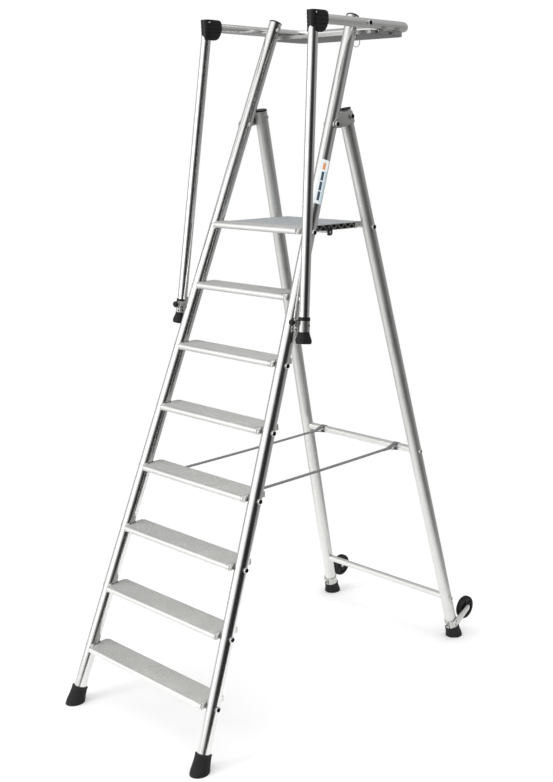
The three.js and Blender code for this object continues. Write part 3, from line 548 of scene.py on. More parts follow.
def add_head(piece, at, outwards, radius=11.0, socket=8.0):
    """A round bolt head on its washer, with a hexagon socket."""
    r = radius
    rim = [(0, 0), (r - 0.5, 0), (r, 0.5), (r, 1.3), (r - 0.4, 1.7), (r - 1.2, 1.75), (r - 1.0, 2.3),
           (r - 1.0, 3.6), (r - 1.7, 5.1), (r - 3.0, HEAD_DEPTH - 0.15), (socket + 0.6, HEAD_DEPTH)]
    hollow = [(socket + 0.6, HEAD_DEPTH), (socket, HEAD_DEPTH - 0.4, 6), (socket, HEAD_DEPTH - 3.5, 6),
              (0, HEAD_DEPTH - 3.6)]
    piece.turned(rim, 48, at, outwards)
    # the socket's inside takes the piece's second material, the near-black painted shade of the hole
    piece.turned(hollow, 48, at, outwards, 1)


def shank(length):
    return [(0, 0), (4.4, 0), (5, 0.6), (5, length), (0, length)]


def ends(node_name, side):
    """A node's outer and inner ends, in millimetres from the middle plane."""
    low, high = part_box(node_name)
    outer, inner = (high.x, low.x) if side > 0 else (-low.x, -high.x)
    return outer / MM, inner / MM


def through_bolt(name, node_name, body, centre):
    """A rod along X through a point, with a head at each end, outside the stiles."""
    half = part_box(node_name)[1].x / MM - HEAD_DEPTH
    piece = Piece(Matrix.Translation(centre))
    piece.turned([(0, 0), (5, 0), (5, 2 * half + 2), (0, 2 * half + 2)], 32, (-half - 1, 0, 0), X)
    for s in (-1, 1):
        add_head(piece, (s * half, 0, 0), X * s)
    piece.make(name, body, "steel_bolt", [STEEL, HOLE_SHADE], (node_name,))


for i in range(1, STEPS + 2):
    z = (RISE * i - ROD_DROP) * MM
    through_bolt(f"step_rod_{i}", f"tie_rod_{i}", "front_frame", Vector((0, front_axis(1, z).y, z)))
through_bolt("deck_rest_rod", "platform_rear_rod", "rear_frame", mm(0, 289.41, 1903))

# ---------------------------------------------------------------- treads

STEP = (-45, 62, 25)      # a tread's front, back and depth
SADDLE_REACH = 12.0
SADDLE_BORE = 25.95
SLANT = math.hypot(1, FRONT_RAKE)      # a level cut through a stile is this much longer in Y
GROOVE_SECTION = ((-1.9, 0.0), (-1.3, -0.35), (-0.9, -1.3), (0.9, -1.3), (1.3, -0.35), (1.9, 0.0))


def plank_outline(front, rear, depth):
    """Section in (y, z) with its nose to -Y, its top at z = 0 and fine ribs along the top."""
    wall, lip = 3.0, 12.0
    r = depth / 2
    nose = front + r
    out = [(nose + lip, -depth)] + arc(nose, -r, r, 270, 90, 20)
    first, last = nose + 3.5, rear - 4.0
    count = max(1, round((last - first) / 9.6))
    pitch = (last - first) / count
    for k in range(count + 1):
        c = first + k * pitch
        out += [(c + y, z) for y, z in GROOVE_SECTION]
        if k < count:
            mid = c + pitch / 2
            out += [(mid - 0.4, 0.0), (mid, -0.3), (mid + 0.4, 0.0)]
    out += arc(rear - 1.2, -1.2, 1.2, 90, 0, 4)
    out += [(rear, -depth), (rear - wall, -depth), (rear - wall, -wall)]
    out += list(reversed(arc(nose, -r, r - wall, 270, 90, 16)))
    return out + [(nose + lip, -depth + wall)]


def shade_grooves(piece, material):
    """Gives the groove floors between the ribs a darker material: painted shade in the grooves."""
    for k, face in enumerate(piece.faces):
        heights = [piece.verts[i][2] for i in face]
        if len(face) == 4 and -1.5 < min(heights) < -0.7 and max(heights) <= -0.3:
            piece.mats[k] = material


def block_outline(front, rear, depth, grow=0.0):
    r = depth / 2
    return (arc(front + r, -r, r + grow, 270, 90, 20) + arc(rear - 2, -2, 2 + grow, 90, 0, 4)
            + arc(rear - 2, -depth + 2, 2 + grow, 0, -90, 4))


def stile_centre(side, step_top, drop):
    """A front stile's axis below a tread's top, as (distance from the middle plane, y)."""
    axis = front_axis(side, step_top * MM) / MM
    return axis.x * side + FRONT_LEAN * drop, axis.y - FRONT_RAKE * drop


def saddle(side, step_top, inner_x):
    """The part of a tread end that reaches round behind the stile, shaped to the leaning tube."""
    a, b = SADDLE_BORE, SADDLE_BORE * SLANT
    levels = []
    middle = stile_centre(side, step_top, 0)[1]
    y0 = middle + 2
    far = inner_x + 4 + SADDLE_REACH
    for drop in (24, 18, 12, 6, 1):
        cx, cy = stile_centre(side, step_top, drop)
        start = math.pi - math.asin(max(-1, min(1, (y0 - cy) / b)))
        end = math.acos(max(-1, min(1, (far - cx) / a)))
        outline = [(side * inner_x, y0)]
        for k in range(19):
            t = start + (end - start) * k / 18
            outline.append((side * (cx + a * math.cos(t)), cy + b * math.sin(t)))
        outline += [(side * far, middle + 58), (side * inner_x, middle + 58)]
        levels.append([(p[0], p[1], step_top - drop) for p in outline])
    return loft(levels)


def gasket(side, step_top):
    """Thin black liner between the tread end and the stile, standing a little above the tread."""
    levels = []
    for drop in (24.5, 16, 8, -0.9):
        cx, cy = stile_centre(side, step_top, drop)
        outline = []
        for r, turn in ((25.15, 1), (26.9, -1)):
            angles = [math.radians(205 + (118 - 205) * k / 24) for k in range(25)][::turn]
            outline += [(side * (cx + r * math.cos(t)), cy + r * SLANT * math.sin(t)) for t in angles]
        levels.append([(p[0], p[1], step_top - drop) for p in outline])
    return loft(levels)


def lowered(shape, y, z):
    return [(v[0], v[1] - y, v[2] - z) for v in shape[0]], shape[1]


def tread(i):
    top = RISE * i
    y = RUN * i + DEPTH_SHIFT / MM
    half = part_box(f"tread_{i}")[1].x / MM - SADDLE_REACH
    at = shift(0, y, top)
    nodes = (f"tread_{i}",)
    plank = Piece(at).add(along_x(plank_outline(*STEP), -half + 3.9, half - 3.9))
    shade_grooves(plank, 1)
    plank.make(f"step_board_{i}", "front_frame", "ribbed_tread", [RIBBED, GROOVE_SHADE], nodes, sharp=30)
    for side, word in SIDES:
        end = Piece(at)
        end.add(soften(along_x(block_outline(*STEP, 0.5), *between(side, half - 15, half)), 1.6, 3))
        end.add(soften(lowered(saddle(side, top, half - 4), y, top), 1.2))
        end.add(lowered(gasket(side, top), y, top), 1)
        # a small black disc at the nose end: painted shade for the hole there
        end.turned([(3.4, -1.0), (3.4, 0.9), (2.6, 1.2), (2.4, 0.4), (0, 0.3)], 24,
                   (side * (half - 7), -45 + 3.2, -6.2), Vector((0, -1, 0.75)), 1, X)
        end.make(f"step_end_{i}_{word}", "front_frame", "satin_fitting", [CAST, BLACK], nodes, sharp=35)


for i in range(1, STEPS + 1):
    tread(i)

# ---------------------------------------------------------------- platform

NOSE = (-45.0, 28.0, 25)      # the front board's front, back and depth from the pivot
PLATFORM = shift(0, -47.46, 1920.0)


def front_board():
    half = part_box("platform_nose")[1].x / MM
    piece = Piece(PLATFORM).add(along_x(plank_outline(*NOSE), -half + 3.9, half - 3.9))
    shade_grooves(piece, 2)
    for s in (-1, 1):
        piece.add(soften(along_x(block_outline(*NOSE), *between(s, half - 5, half)), 0.8), 1)
    piece.make("platform_front_board", "platform", "ribbed_tread", [RIBBED, CAST, GROOVE_SHADE],
               ("platform_nose",), sharp=30)


def deck():
    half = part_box("deck")[1].x / MM
    front, hook, rear = NOSE[1] + 0.3, 336.87, 356.87
    low, clear, ceiling = -24.0, 5.6, -11.7
    hooked = [(hook - clear - 9.4, low), (hook - clear - 1, low + 8.4), (hook - clear, ceiling),
              (hook + clear, ceiling), (hook + clear, low), (rear - 7, low)]
    hooked += arc(rear - 7, low + 7, 7, -90, 0, 6) + arc(rear - 7, -7, 7, 0, 90, 6)
    wall, cells = 2.6, 7
    start = front + wall
    pitch = (hook - 24 - start) / cells
    floor, roof = low + wall, -wall
    foot, peak = floor - 0.5, roof + 0.5
    piece = Piece(PLATFORM)
    # the middle of the deck is solid here, in a near-black material that is painted shade for its hollow
    # cells; its two open ends are webs with that painted shade behind them
    depth_in = 26.0
    outline = [(front, low), *hooked, (front, 0)]
    piece.add(soften(along_x(outline, -half + depth_in, half - depth_in), 0.3, 1), 1)
    tail = [(hook - 24, foot), *hooked, (hook - 24, 0)]
    skin = [[(front, roof), (front, 0), (rear - 7, 0), (rear - 7, roof)],
            [(front, low), (front, floor), (hook - 14, floor), (hook - 14, low)],
            [(front, low), (front, 0), (front + wall, 0), (front + wall, low)],
            tail]
    t = wall * 0.55
    for k in range(cells):
        x0 = start + k * pitch
        mid, x1 = x0 + pitch / 2, x0 + pitch
        skin.append([(x0 - t, foot), (x0 + t, foot), (mid + t, peak), (mid - t, peak)])
        skin.append([(mid - t, peak), (mid + t, peak), (x1 + t, foot), (x1 - t, foot)])
    for s in (-1, 1):
        a, b = between(s, half - depth_in - 0.5, half)
        for k, shape in enumerate(skin):
            inset = 0.02 * k      # no two webs end in one plane
            piece.add(along_x(shape, a + inset, b if shape is tail else b - inset))
    piece.make("deck_shell", "platform", "deck_sheet", [CAST, HOLE_SHADE], ("deck",), sharp=30)
    deck_pattern(-half + 0.6, half - 0.6, front + 0.5, rear - 8)


def deck_pattern(x0, x1, y0, y1):
    """Raised pattern on the deck's top face."""
    nx, ny = 70, 52
    dx, dy = (x1 - x0) / nx, (y1 - y0) / ny
    verts, faces, index = [], [], {}

    def at_vertex(i, j, lift):
        if (i, j) not in index:
            index[(i, j)] = len(verts)
            verts.append((x0 + dx * i / 2, y0 + dy * j / 2, lift))
        return index[(i, j)]

    for i in range(nx):
        for j in range(ny):
            c = at_vertex(2 * i + 1, 2 * j + 1, 0.75 if (i + j) % 2 else 0.3)
            corners = ((2 * i, 2 * j), (2 * i + 2, 2 * j), (2 * i + 2, 2 * j + 2), (2 * i, 2 * j + 2))
            ring = [at_vertex(p, q, 0.12) for p, q in corners]
            for k in range(4):
                faces.append((ring[k], ring[(k + 1) % 4], c))
    edge = [(i, 0) for i in range(0, 2 * nx, 2)] + [(2 * nx, j) for j in range(0, 2 * ny, 2)]
    edge += [(i, 2 * ny) for i in range(2 * nx, 0, -2)] + [(0, j) for j in range(2 * ny, 0, -2)]
    rim = [index[k] for k in edge]
    base = len(verts)
    for k in rim:
        verts.append((verts[k][0], verts[k][1], -0.4))
    for k in range(len(rim)):
        q = (k + 1) % len(rim)
        faces.append((rim[k], rim[q], base + q, base + k))
    faces.append(tuple(base + k for k in range(len(rim))))
    Piece(PLATFORM).add((verts, faces)).make("deck_tread_surface", "platform", "deck_sheet", [DECK],
                                             ("deck",), sharp=180)


def latch():
    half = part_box("deck_latch_bar")[1].x / MM
    at = shift(0, 107.54, 1890.7)
    rod = [(0, 0), (4.6, 0), (5, 0.4), (5, 2 * half - 0.4), (4.6, 2 * half), (0, 2 * half)]
    Piece(at).turned(rod, 32, (-half, 0, 0), X).make("latch_rod", "platform", "steel_bolt", [STEEL],
                                                     ("deck_latch_bar",))
    clips = Piece(at)
    for s in (-1, 1):
        a, b = between(s, half - 10, half - 0.3)
        ring = arc(0, 0, 13.97, -144, 144, 40) + arc(0, 0, 10, 144, -144, 32)
        clips.add(soften(along_x(ring, a, b), 0.9, 3))
        clips.add(soften(box(a, b, 0, 12, -2.5, 2.5), 0.6))
        clips.turned([(5.05, 0), (8, 0), (8.6, 0.6), (8.6, 9.1), (8, 9.7), (5.05, 9.7)], 32,
                     (a, 0, 0), X, closed=True)
    clips.make("latch_clips", "platform", "black_plastic", [BLACK], ("deck_latch_bar",))


front_board()
deck()
latch()

# ---------------------------------------------------------------- cross bars, hinges

for word, y, z in (("upper", 506.2, 930.0), ("lower", 668.84, 200.0)):
    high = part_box(f"rear_cross_bar_{word}")[1].x / MM
    half = rear_axis(1, z * MM).x / MM - 23
    piece = Piece(shift(0, y, z))
    piece.turned([(13, 0), (15, 0), (15, 2 * half), (13, 2 * half)], 72, (-half, 0, 0), X, closed=True)
    for s in (-1, 1):
        add_head(piece, (s * (high - HEAD_DEPTH), 0, 0), X * s, 9.5, 6.0)
        piece.turned([(0, 0), (4.9, 0), (4.9, 12), (0, 12)], 24, (s * (high - 14), 0, 0), X * s)
    piece.make(f"brace_{word}", "rear_frame", "satin_tube", [SATIN_TUBE, HOLE_SHADE],
               (f"rear_cross_bar_{word}",))


def plate_outline():
    pts = arc(0, 0, 15, 127, 282, 14)
    return pts + [(19, -14), (50, -7.6), (76, -2), (95, 4.2), (99.5, 6.5), (102, 10), (101.6, 15),
                  (98, 30), (94, 46), (91.5, 50.5), (87, 52.4), (82, 51.8), (55, 47), (32, 43),
                  (26.5, 41), (22.5, 36.5), (6, 24)]


def hinge_cheek(side, word):
    """The outer hinge plate, in line with the leaning stiles, with the bolt through the rear one."""
    node_name = f"hinge_plate_outer_{word}"
    middle = 272.56
    tilt = Matrix.Rotation(-side * math.atan(FRONT_LEAN), 4, "Y")
    back = tilt.inverted()
    outwards = back @ (X * side)
    tip, tail = ends(node_name, side)

    def rear_bolt(x):
        return back @ Vector((side * (x - middle), 85.32, 30))

    piece = Piece(shift(side * middle, *HINGE) @ tilt)
    piece.add(soften(along_x(plate_outline(), -2, 2), 0.7, limit=30))
    add_head(piece, rear_bolt(tip - HEAD_DEPTH), outwards)
    piece.turned(shank(tip - tail - 5), 32, rear_bolt(tail), outwards)
    piece.turned(NUT, 48, rear_bolt(tail), outwards, closed=True)
    piece.make(f"hinge_cheek_{word}", "rear_frame", "satin_fitting", [FITTING, HOLE_SHADE], (node_name,))


def pivot_bolt(name, node_name, side, centre, spacer):
    outer, inner = ends(node_name, side)
    piece = Piece(Matrix.Translation(centre))
    add_head(piece, (side * (outer - HEAD_DEPTH), 0, 0), X * side)
    piece.turned(shank(outer - 5 - inner), 32, (side * inner, 0, 0), X * side)
    piece.turned(NUT, 48, (side * inner, 0, 0), X * side, closed=True)
    if spacer:
        piece.turned([(5, 0), (10.5, 0), (11, 0.5), (11, 33.4), (10.5, 33.9), (5, 33.9)], 48,
                     (side * 245.3, 0, 0), X * side, closed=True)
    piece.make(name, "front_frame", "steel_bolt", [STEEL, HOLE_SHADE], (node_name,))


for side, word in SIDES:
    hinge_cheek(side, word)
    pivot_bolt(f"hinge_bolt_{word}", f"hinge_pivot_bolt_{word}", side, mm(0, *HINGE), False)
    pivot_bolt(f"hoop_bolt_{word}", f"rail_bolt_{word}", side, mm(0, *HOOP_PIN), True)

# ---------------------------------------------------------------- wheels

AXLE = (783.56, 116.0)
WHEEL_X, ARM_X = 402.04, 416.54


def axle_collar(side, word, nodes):
    foot = rear_axis(side, 0)
    direction = (rear_axis(side, 1) - foot).normalized()
    piece = Piece(placed(foot + direction * 50.3 * MM, direction))
    piece.add(lathe([(26.15, 0), (29.2, 0), (29.8, 0.6), (29.8, 3.4), (29.4, 4.0), (29.4, 31), (29.8, 31.6),
                     (29.8, 35.4), (29.2, 36), (26.15, 36)], 96, closed=True))
    piece.add(soften(box(-4, 4, -33.6, -28, 6, 32), 0.8))
    # a dark disc and a dark strip here are painted shade for a hole and a slot
    piece.turned([(0, 0), (4, 0), (4, 1.6), (3.4, 2.2), (0, 2.2)], 24, (0, -33.5, 19), -Y, 1, X)
    piece.add(box(9, 10.4, -29.95, -26, 0.3, 35.7), 1)
    piece.make(f"axle_collar_{word}", "rear_frame", "satin_fitting", [FITTING, HOLE_SHADE], nodes)


def axle_arm(side, word, nodes):
    """The plate from the stile to the wheel, with its rivets and the axle."""
    y, z = rear_axis(1, 0.07).y / MM - AXLE[0], 70.0 - AXLE[1]
    arm = Piece(shift(side * ARM_X, *AXLE))
    plate = arc(y, z, 20, 119, 299, 20) + arc(0, 0, 16, -61, 119, 20)
    arm.add(soften(along_x(plate, *between(side, 0, 4)), 0.8))
    arm.turned([(0, 0), (6.5, 0), (6.3, 0.4), (4.5, 0.75), (0, 0.8)], 32, (side * 4, 0, 0), X * side)
    # the rivets are drawn in the near-black painted hole shade
    for dy, dz in ((y + 3, z + 9), (y - 3, z - 5)):
        arm.turned([(0, -0.2), (3.6, 0), (3.4, 0.4), (2.6, 0.75), (0, 0.8)], 24,
                   (side * 4, dy, dz), X * side, 1)
    arm.turned([(0, 0), (7.5, 0), (9, 1.2), (9, 4), (6, 4.2), (6, 32), (0, 32)], 32,
               (side * (386.04 - ARM_X), 0, 0), X * side)
    arm.make(f"axle_arm_{word}", "rear_frame", "satin_fitting", [FITTING, HOLE_SHADE], nodes)


def wheel(side, word):
    at = shift(side * WHEEL_X, *AXLE)
    body = f"wheel_{word}"
    turn = placed(Vector((0, 0, 0)), X * side, Z)
    half_wall = [(6.5, 10.4), (7.1, 11), (13.2, 11), (14.4, 10), (15.4, 6.2), (17, 5.4), (37, 5.4),
                 (38.6, 6.4), (40, 9.6), (41.2, 10)]
    hub = Piece(at)
    hub.add(lathe([(r, -z) for r, z in reversed(half_wall)] + half_wall, 96, closed=True), 0, turn)
    for k in range(6):
        spoke = turn @ Matrix.Rotation(math.pi * 2 * k / 6, 4, "Z")
        for z0, z1 in ((-9.0, -4.9), (4.9, 9.0)):
            hub.add(soften(box(13, 40.5, -1.5, 1.5, z0, z1), 0.5), 0, spoke)
    hub.make(f"caster_hub_{word}", body, "wheel_plastic", [WHEEL], (body,))

    def grip(a, r, z):
        return -0.5 * max(0.0, math.cos(a * 36)) ** 6 if r > 51 else 0.0

    ring = [(41.2, -9.4), (42.5, -11), (48.5, -11), (51.2, -10.2), (52.8, -8), (53.4, -4), (53.4, 4),
            (52.8, 8), (51.2, 10.2), (48.5, 11), (42.5, 11), (41.2, 9.4)]
    tyre = Piece(at).add(lathe(ring, 216, closed=True, ripple=grip), 0, turn)
    tyre.make(f"caster_tyre_{word}", body, "wheel_plastic", [RUBBER], (body,))


for side, word in SIDES:
    bracket = (f"wheel_bracket_{word}",)
    axle_collar(side, word, bracket)
    axle_arm(side, word, bracket)
    wheel(side, word)

# ---------------------------------------------------------------- guard rail

TRAY_HALF = 289.84
RING_Y = 300.53


def hoop():
    half, pin = HOOP_HALF, HOOP_PIN[0]
    front, back, bend = 35.53, 510.53, 60.0
    middle = (front + back) / 3
    bends = arc(half - bend, back - bend, bend, 0, 90, 24) + arc(bend - half, back - bend, bend, 90, 180, 24)
    line = [(half, front), (half, middle), *bends, (-half, middle), (-half, front)]
    path = [Vector((x, y, 0)) - Vector((0, pin, 0)) for x, y in line]
    piece = Piece(shift(0, *HOOP_PIN)).add(sweep(path, circle(18, 64), Z))
    for side in (-1, 1):
        tip = front + 20 - pin
        tongue = arc(LEG_PIN - pin, 0, 13.75, 90, 270, 16) + [(tip, -13.75), (tip, 13.75)]
        piece.add(soften(along_x(tongue, side * half - 10, side * half + 10), 1.0), 1)
    piece.make("hoop_tube", "guard_rail", "polished_tube", [POLISHED, FITTING], ("guard_rail",))


def tray_outline(inset):
    half, front, back, r = TRAY_HALF - inset, 33.0 + inset, 250.0 - inset, 52 - inset
    out = [(-half, front), (half, front)] + arc(half - r, back - r, r, 0, 90, 12)
    return out + arc(-half + r, back - r, r, 90, 180, 12)


def tray():
    """The sheet pan: its wall goes up outside, over the lip and down inside to the floor."""
    pan = Piece(shift(0, HOOP_PIN[0], 2636))
    levels = ((4, 0.0), (1.2, 0.5), (0, 2.0), (0, 15.5), (0.5, 16.0),
              (1.5, 16.0), (2, 15.5), (2, 3.4), (3.2, 2.4), (6, 2.0))
    rings = [[(x, y, z) for x, y in tray_outline(inset)] for inset, z in levels]
    pan.add(loft(rings))
    n = len(rings[0])
    pan.mats[2 * n:6 * n] = [1] * (4 * n)
    # pressed stiffening ribs on the floor, and hangers under the hoop
    for x in (-180, -90, 0, 90, 180):
        pan.add(along_y([(x - 5, 1.9), (x - 3, 2.9), (x + 3, 2.9), (x + 5, 1.9)], 52, 226))
    for side in (-1, 1):
        for y in (70, 150):
            a, b = between(side, TRAY_HALF - 6, 300.6)
            lug = [(a, 4.0), (b, 4.0), (b, 17.5), (a, 17.5)]
            pan.add(soften(along_y(lug, y + 0.3, y + 25.7), 0.6), 1)
            cradle = arc(0, 36, 18.4, 205, 335, 14) + arc(0, 36, 19.9, 335, 205, 14)
            pan.add(along_y([(side * HOOP_HALF + p[0], p[1]) for p in cradle], y, y + 26), 1)
    # the eye that the ring hangs in, as two halves round its hole
    x, y, z = 0.7 * TRAY_HALF, RING_Y - HOOP_PIN[0], -8.0
    for rim, hole, edge in ((180, (270, 90), -5), (360, (-90, 90), 5)):
        half = arc(y, z, 5, rim, 270, 8) + arc(y, z, 2.6, *hole, 14) + [(y, 1), (y + edge, 1)]
        pan.add(along_x(half, x - 2, x + 2), 1)
    pan.make("tray_pan", "guard_rail", "tray_sheet", [TRAY, FLANGE], ("tray",), sharp=32)


def pull_ring():
    at = shift(0.7 * TRAY_HALF, RING_Y, 2628 - 18)
    path = [Vector((x, 0, z)) for x, z in circle(18, 72)]
    Piece(at).add(sweep(path, circle(1.5, 20), Y, closed=True)).make(
        "pull_ring", "lock_ring", "steel_bolt", [WIRE], ("lock_ring",))


hoop()
tray()
pull_ring()

# ---------------------------------------------------------------- handrail legs

HOUSING_LOW, HOUSING_TOP = -49, 28
GROOVE_LEVELS = (-35.2, -33.8, -21.2, -19.8, -7.2, -5.8, 6.8, 8.2)
HOUSING_LEVELS = sorted(GROOVE_LEVELS + (
    HOUSING_LOW, -47.6, -45, -41, -36.3, -32.7, -27, -22.3, -18.7, -13, -8.3, -4.7, 1,
    5.7, 9.3, 14, 18, 21, 23.5, 25.3, 26.6, HOUSING_TOP))


def lobe_rear(z):
    """How far a corner housing reaches behind its pin at a height from the pin."""
    if z < -6:
        t = (-14 + math.sqrt(196 + 116 * (z + 49))) / 58
        return 24 + 50 * t - 16 * t * t
    if z <= 10:
        return 58.0
    t = (32 - math.sqrt(max(0.0, 1024 - 56 * (z - 10)))) / 28
    return 58 - 2 * t - 13 * t * t


def housing_inset(z):
    """How far the housing's skin goes in at a height, for its grooves and its rounded ends."""
    if z in GROOVE_LEVELS:
        return 1.3
    if z in (HOUSING_LOW, HOUSING_TOP):
        return 1.4
    return 0.5 if z in (-47.6, 26.6) else 0.0


def corner_housing(side, word, body):
    piece = Piece(shift(side * HOOP_HALF, LEG_PIN, HOOP_PIN[1]))
    half, slot = 24.0, 10.5
    for lean in (-1, 1):
        levels = []
        for z in HOUSING_LEVELS:
            reach = lobe_rear(z) - (1.2 if z in (HOUSING_LOW, HOUSING_TOP) else 0)
            r = half - housing_inset(z)
            edge = math.acos(slot / r)
            pts = [(r * math.cos(edge * k / 14), -r * math.sin(edge * k / 14)) for k in range(15)]
            pts += [(slot, reach), (r - 5, reach), (r - 2.2, reach - 0.9), (r - 0.6, reach - 3),
                    (r, reach - 6)]
            levels.append([(lean * p[0], p[1], z) for p in pts])
        piece.add(loft(levels))
    # bridge under the slot and the closed front
    piece.add(along_z(arc(0, 0, 23.6, 240, 300, 16) + [(11, 21), (-11, 21)], -48.4, -15.4))
    tail = [(20, -48.2), (30, -46.6), (40, -40.5), (48, -32), (52.5, -22), (54, -15.4), (20, -15.4)]
    piece.add(along_x(tail, -11, 11))
    piece.add(along_z(arc(0, 0, 23.4, 240, 300, 14) + [(11, -15.4), (-11, -15.4)], -20, 27.2))
    for s in (-1, 1):
        piece.turned([(0, 0), (7, 0), (7, 0.35), (6.2, 0.5), (0, 0.5)], 32, (s * 23.45, 0, 0), X * s)
    screw = [(0, 0), (5.0, 0), (5.0, 2.6), (4.2, 3.7), (2.4, 4.0), (2.0, 3.2), (0, 3.1)]
    small = [(r * 0.75, z) for r, z in screw]
    for s in (-1, 1):
        piece.turned(screw, 32, (s * 20, 50, 1), X * s, 1)
        piece.turned(small, 32, (s * 20, -5, 18), X * s, 1)
    piece.make(f"corner_housing_{word}", body, "black_plastic", [BLACK, STEEL],
               (f"corner_block_{word}",), sharp=34)


def clamp_sleeve(side, word, body, nodes):
    low = leg_axis(side, 1.548)
    collar, top = leg_axis(side, 1.589), leg_axis(side, 1.603)
    length = (leg_axis(side, 1.590) - low).length / MM
    lift, tall = (collar - low).length / MM, (top - collar).length / MM
    bore = 19.1
    sleeve = Piece(placed(low, (leg_axis(side, 2.0) - leg_axis(side, 1.0)).normalized()))
    sleeve.add(lathe([(bore, 0), (21.1, 0), (21.6, 0.5), (21.6, length), (bore, length)], 80, closed=True))
    sleeve.add(lathe([(bore, lift), (21.8, lift), (22.4, lift + 0.6), (22.4, lift + tall - 2),
                      (21.6, lift + tall - 0.4), (20.6, lift + tall), (bore, lift + tall)],
                     80, closed=True), 1)
    sleeve.make(f"clamp_sleeve_{word}", body, "satin_fitting", [FITTING, BLACK], nodes)


def clamp_ear(side, word, body, nodes):
    """The clamp's blocks beside the leg, with their screws."""
    centre = leg_axis(side, 1.595) / MM
    ear = Piece(Matrix.Translation(Vector(centre) * MM))
    inward = 337.85 - abs(centre.x)
    ear.add(soften(box(*between(side, inward, -12.0), -4, 33, -22.8, 15.8), 1.2, 3))
    for dz in (-14, 8):
        ear.turned([(0, 0), (3.4, 0), (3.4, 0.7), (2.7, 1.3), (2.2, 1.3), (1.8, 0.5), (0, 0.5)], 24,
                   (side * -12.6, 24, dz), X * side, 1)
        ear.turned([(0, 0), (3.0, 0), (2.8, 0.3), (1.8, 0.4), (0, 0.2)], 24,
                   (side * ((inward - 12) / 2), -3.9, dz), -Y, 1, X)
    ear.add(soften(box(*between(side, -23, -10), -32, -8, -43.8, 0.8), 1.2, 3))
    ear.add(soften(box(*between(side, -23, -12), -10, 0, -43.8, 0.8), 1.0))
    dot = [(0, 0), (3.8, 0), (3.8, 0.8), (3.0, 1.6), (0, 1.8)]
    for dz in (-22, -36):
        ear.turned(dot, 24, (side * -13.6, -31.9, dz), -Y, 1, X)
        ear.turned(dot, 24, (side * -22.9, -20, dz), -X * side, 1)
    ear.turned(dot, 24, (side * (21.4 + 1.2), 2.6, -22), X * side, 1)
    ear.make(f"clamp_ear_{word}", body, "satin_fitting", [FITTING, BLACK], nodes)


def leg_boot(word, body, top, end):
    down = (end - top).normalized()

    def ribs(a, r, z):
        return 0.9 * (abs(math.sin(a * 11)) ** 0.6 - 1) if r > 20.5 and 3 < z < 33 else 0.0

    profile = [(19.1, 17.9), (19.1, 0.8), (19.6, 0), (22.0, 0), (22.6, 0.8), (22.6, 2.4), (22.3, 3.2)]
    profile += [(22.4 + 8.6 * (k / 8) ** 1.2, 4 + 26 * k / 8) for k in range(9)]
    profile += [(31, 33), (30.2, 34), (30.2, 35), (31, 36), (31, 38), (28, 44), (0, 44), (0, 17.9)]
    Piece(placed(end - down * 17.7 * MM, down)).add(lathe(profile, 88, ripple=ribs)).make(
        f"leg_boot_{word}", body, "black_rubber", [RUBBER], (f"leg_tip_{word}",), sharp=40)


def clamp_knob(side, word):
    def lobes(a, r, z):
        return -1.3 * (0.5 + 0.5 * math.cos(a * 6)) if r > 10 else 0.0

    knob = Piece(placed(mm(side * 344.17, -208.54, 1587.0), -Y))
    knob.add(lathe([(0, 0), (6.5, 0), (7, 0.8), (7.4, 3), (11.4, 4.2), (12.4, 5.6), (12.5, 13.4),
                    (11.6, 15.6), (9.4, 17.2), (6.0, 17.8), (0, 18)], 96, ripple=lobes))
    knob.turned([(0, 0), (3, 0), (3, 22), (2.2, 23), (0, 23)], 24, (0, 0, 0.2), -Z, 1, X)
    knob.make(f"clamp_knob_{word}", f"knob_{word}", "black_plastic", [BLACK, STEEL],
              (f"knob_{word}",), sharp=34)


for side, word in SIDES:
    body = f"handrail_{word}"
    clamp = (f"handrail_clamp_{word}",)
    top, end = leg_axis(side, 2.65), leg_axis(side, 1.53)
    tube(f"leg_tube_{word}", body, "polished_tube", POLISHED, end, top, 19, 17,
         (f"handrail_leg_{word}",), 80)
    corner_housing(side, word, body)
    clamp_sleeve(side, word, body, clamp)
    clamp_ear(side, word, body, clamp)
    leg_boot(word, body, top, end)
    clamp_knob(side, word)

# ---------------------------------------------------------------- straps

STRAP_WIDTH, STRAP_THICK, STRAP_X = 25.0, 1.6, 225
STRAP_STEP = STRAP_THICK + 0.06      # from a strap to its tail, sewn on under it
STRAP_ROD, ROD_NECK = (-425.70, 943.0), (-368.0, 931.6)
STRAP_BAR, BAR_NECK = (506.2, 930.0), (452.0, 930.0)


def loop_round(centre, r, neck, steps):
    """The strap's way round a rod, from under its neck to over it."""
    away = math.hypot(neck[0] - centre[0], neck[1] - centre[1])
    base = math.degrees(math.atan2(neck[1] - centre[1], neck[0] - centre[0]))
    spread = math.degrees(math.acos(r / away))
    return arc(centre[0], centre[1], r, base - spread, base + spread - 360, steps)


def strap_path():
    rod, bar = ROD_NECK, BAR_NECK
    path = [(rod[0] + d, rod[1] - STRAP_STEP) for d in (45, 22, 4)]
    path += loop_round(STRAP_ROD, 5.6 + STRAP_THICK / 2, rod, 30)
    path += [rod, (rod[0] + 22, rod[1] - 0.05)]
    for k in range(1, 60):
        t = k / 60
        y = rod[0] + 22 + (bar[0] - 22 - rod[0] - 22) * t
        sag = -2.2 * 4 * t * (1 - t)
        path.append((y, rod[1] + (bar[1] - rod[1]) * t + sag))
    path += [(bar[0] - 22, bar[1]), bar]
    path += loop_round(STRAP_BAR, 15.6 + STRAP_THICK / 2, bar, 40)
    return path + [(bar[0] - d, bar[1] - STRAP_STEP) for d in (4, 22, 45)]


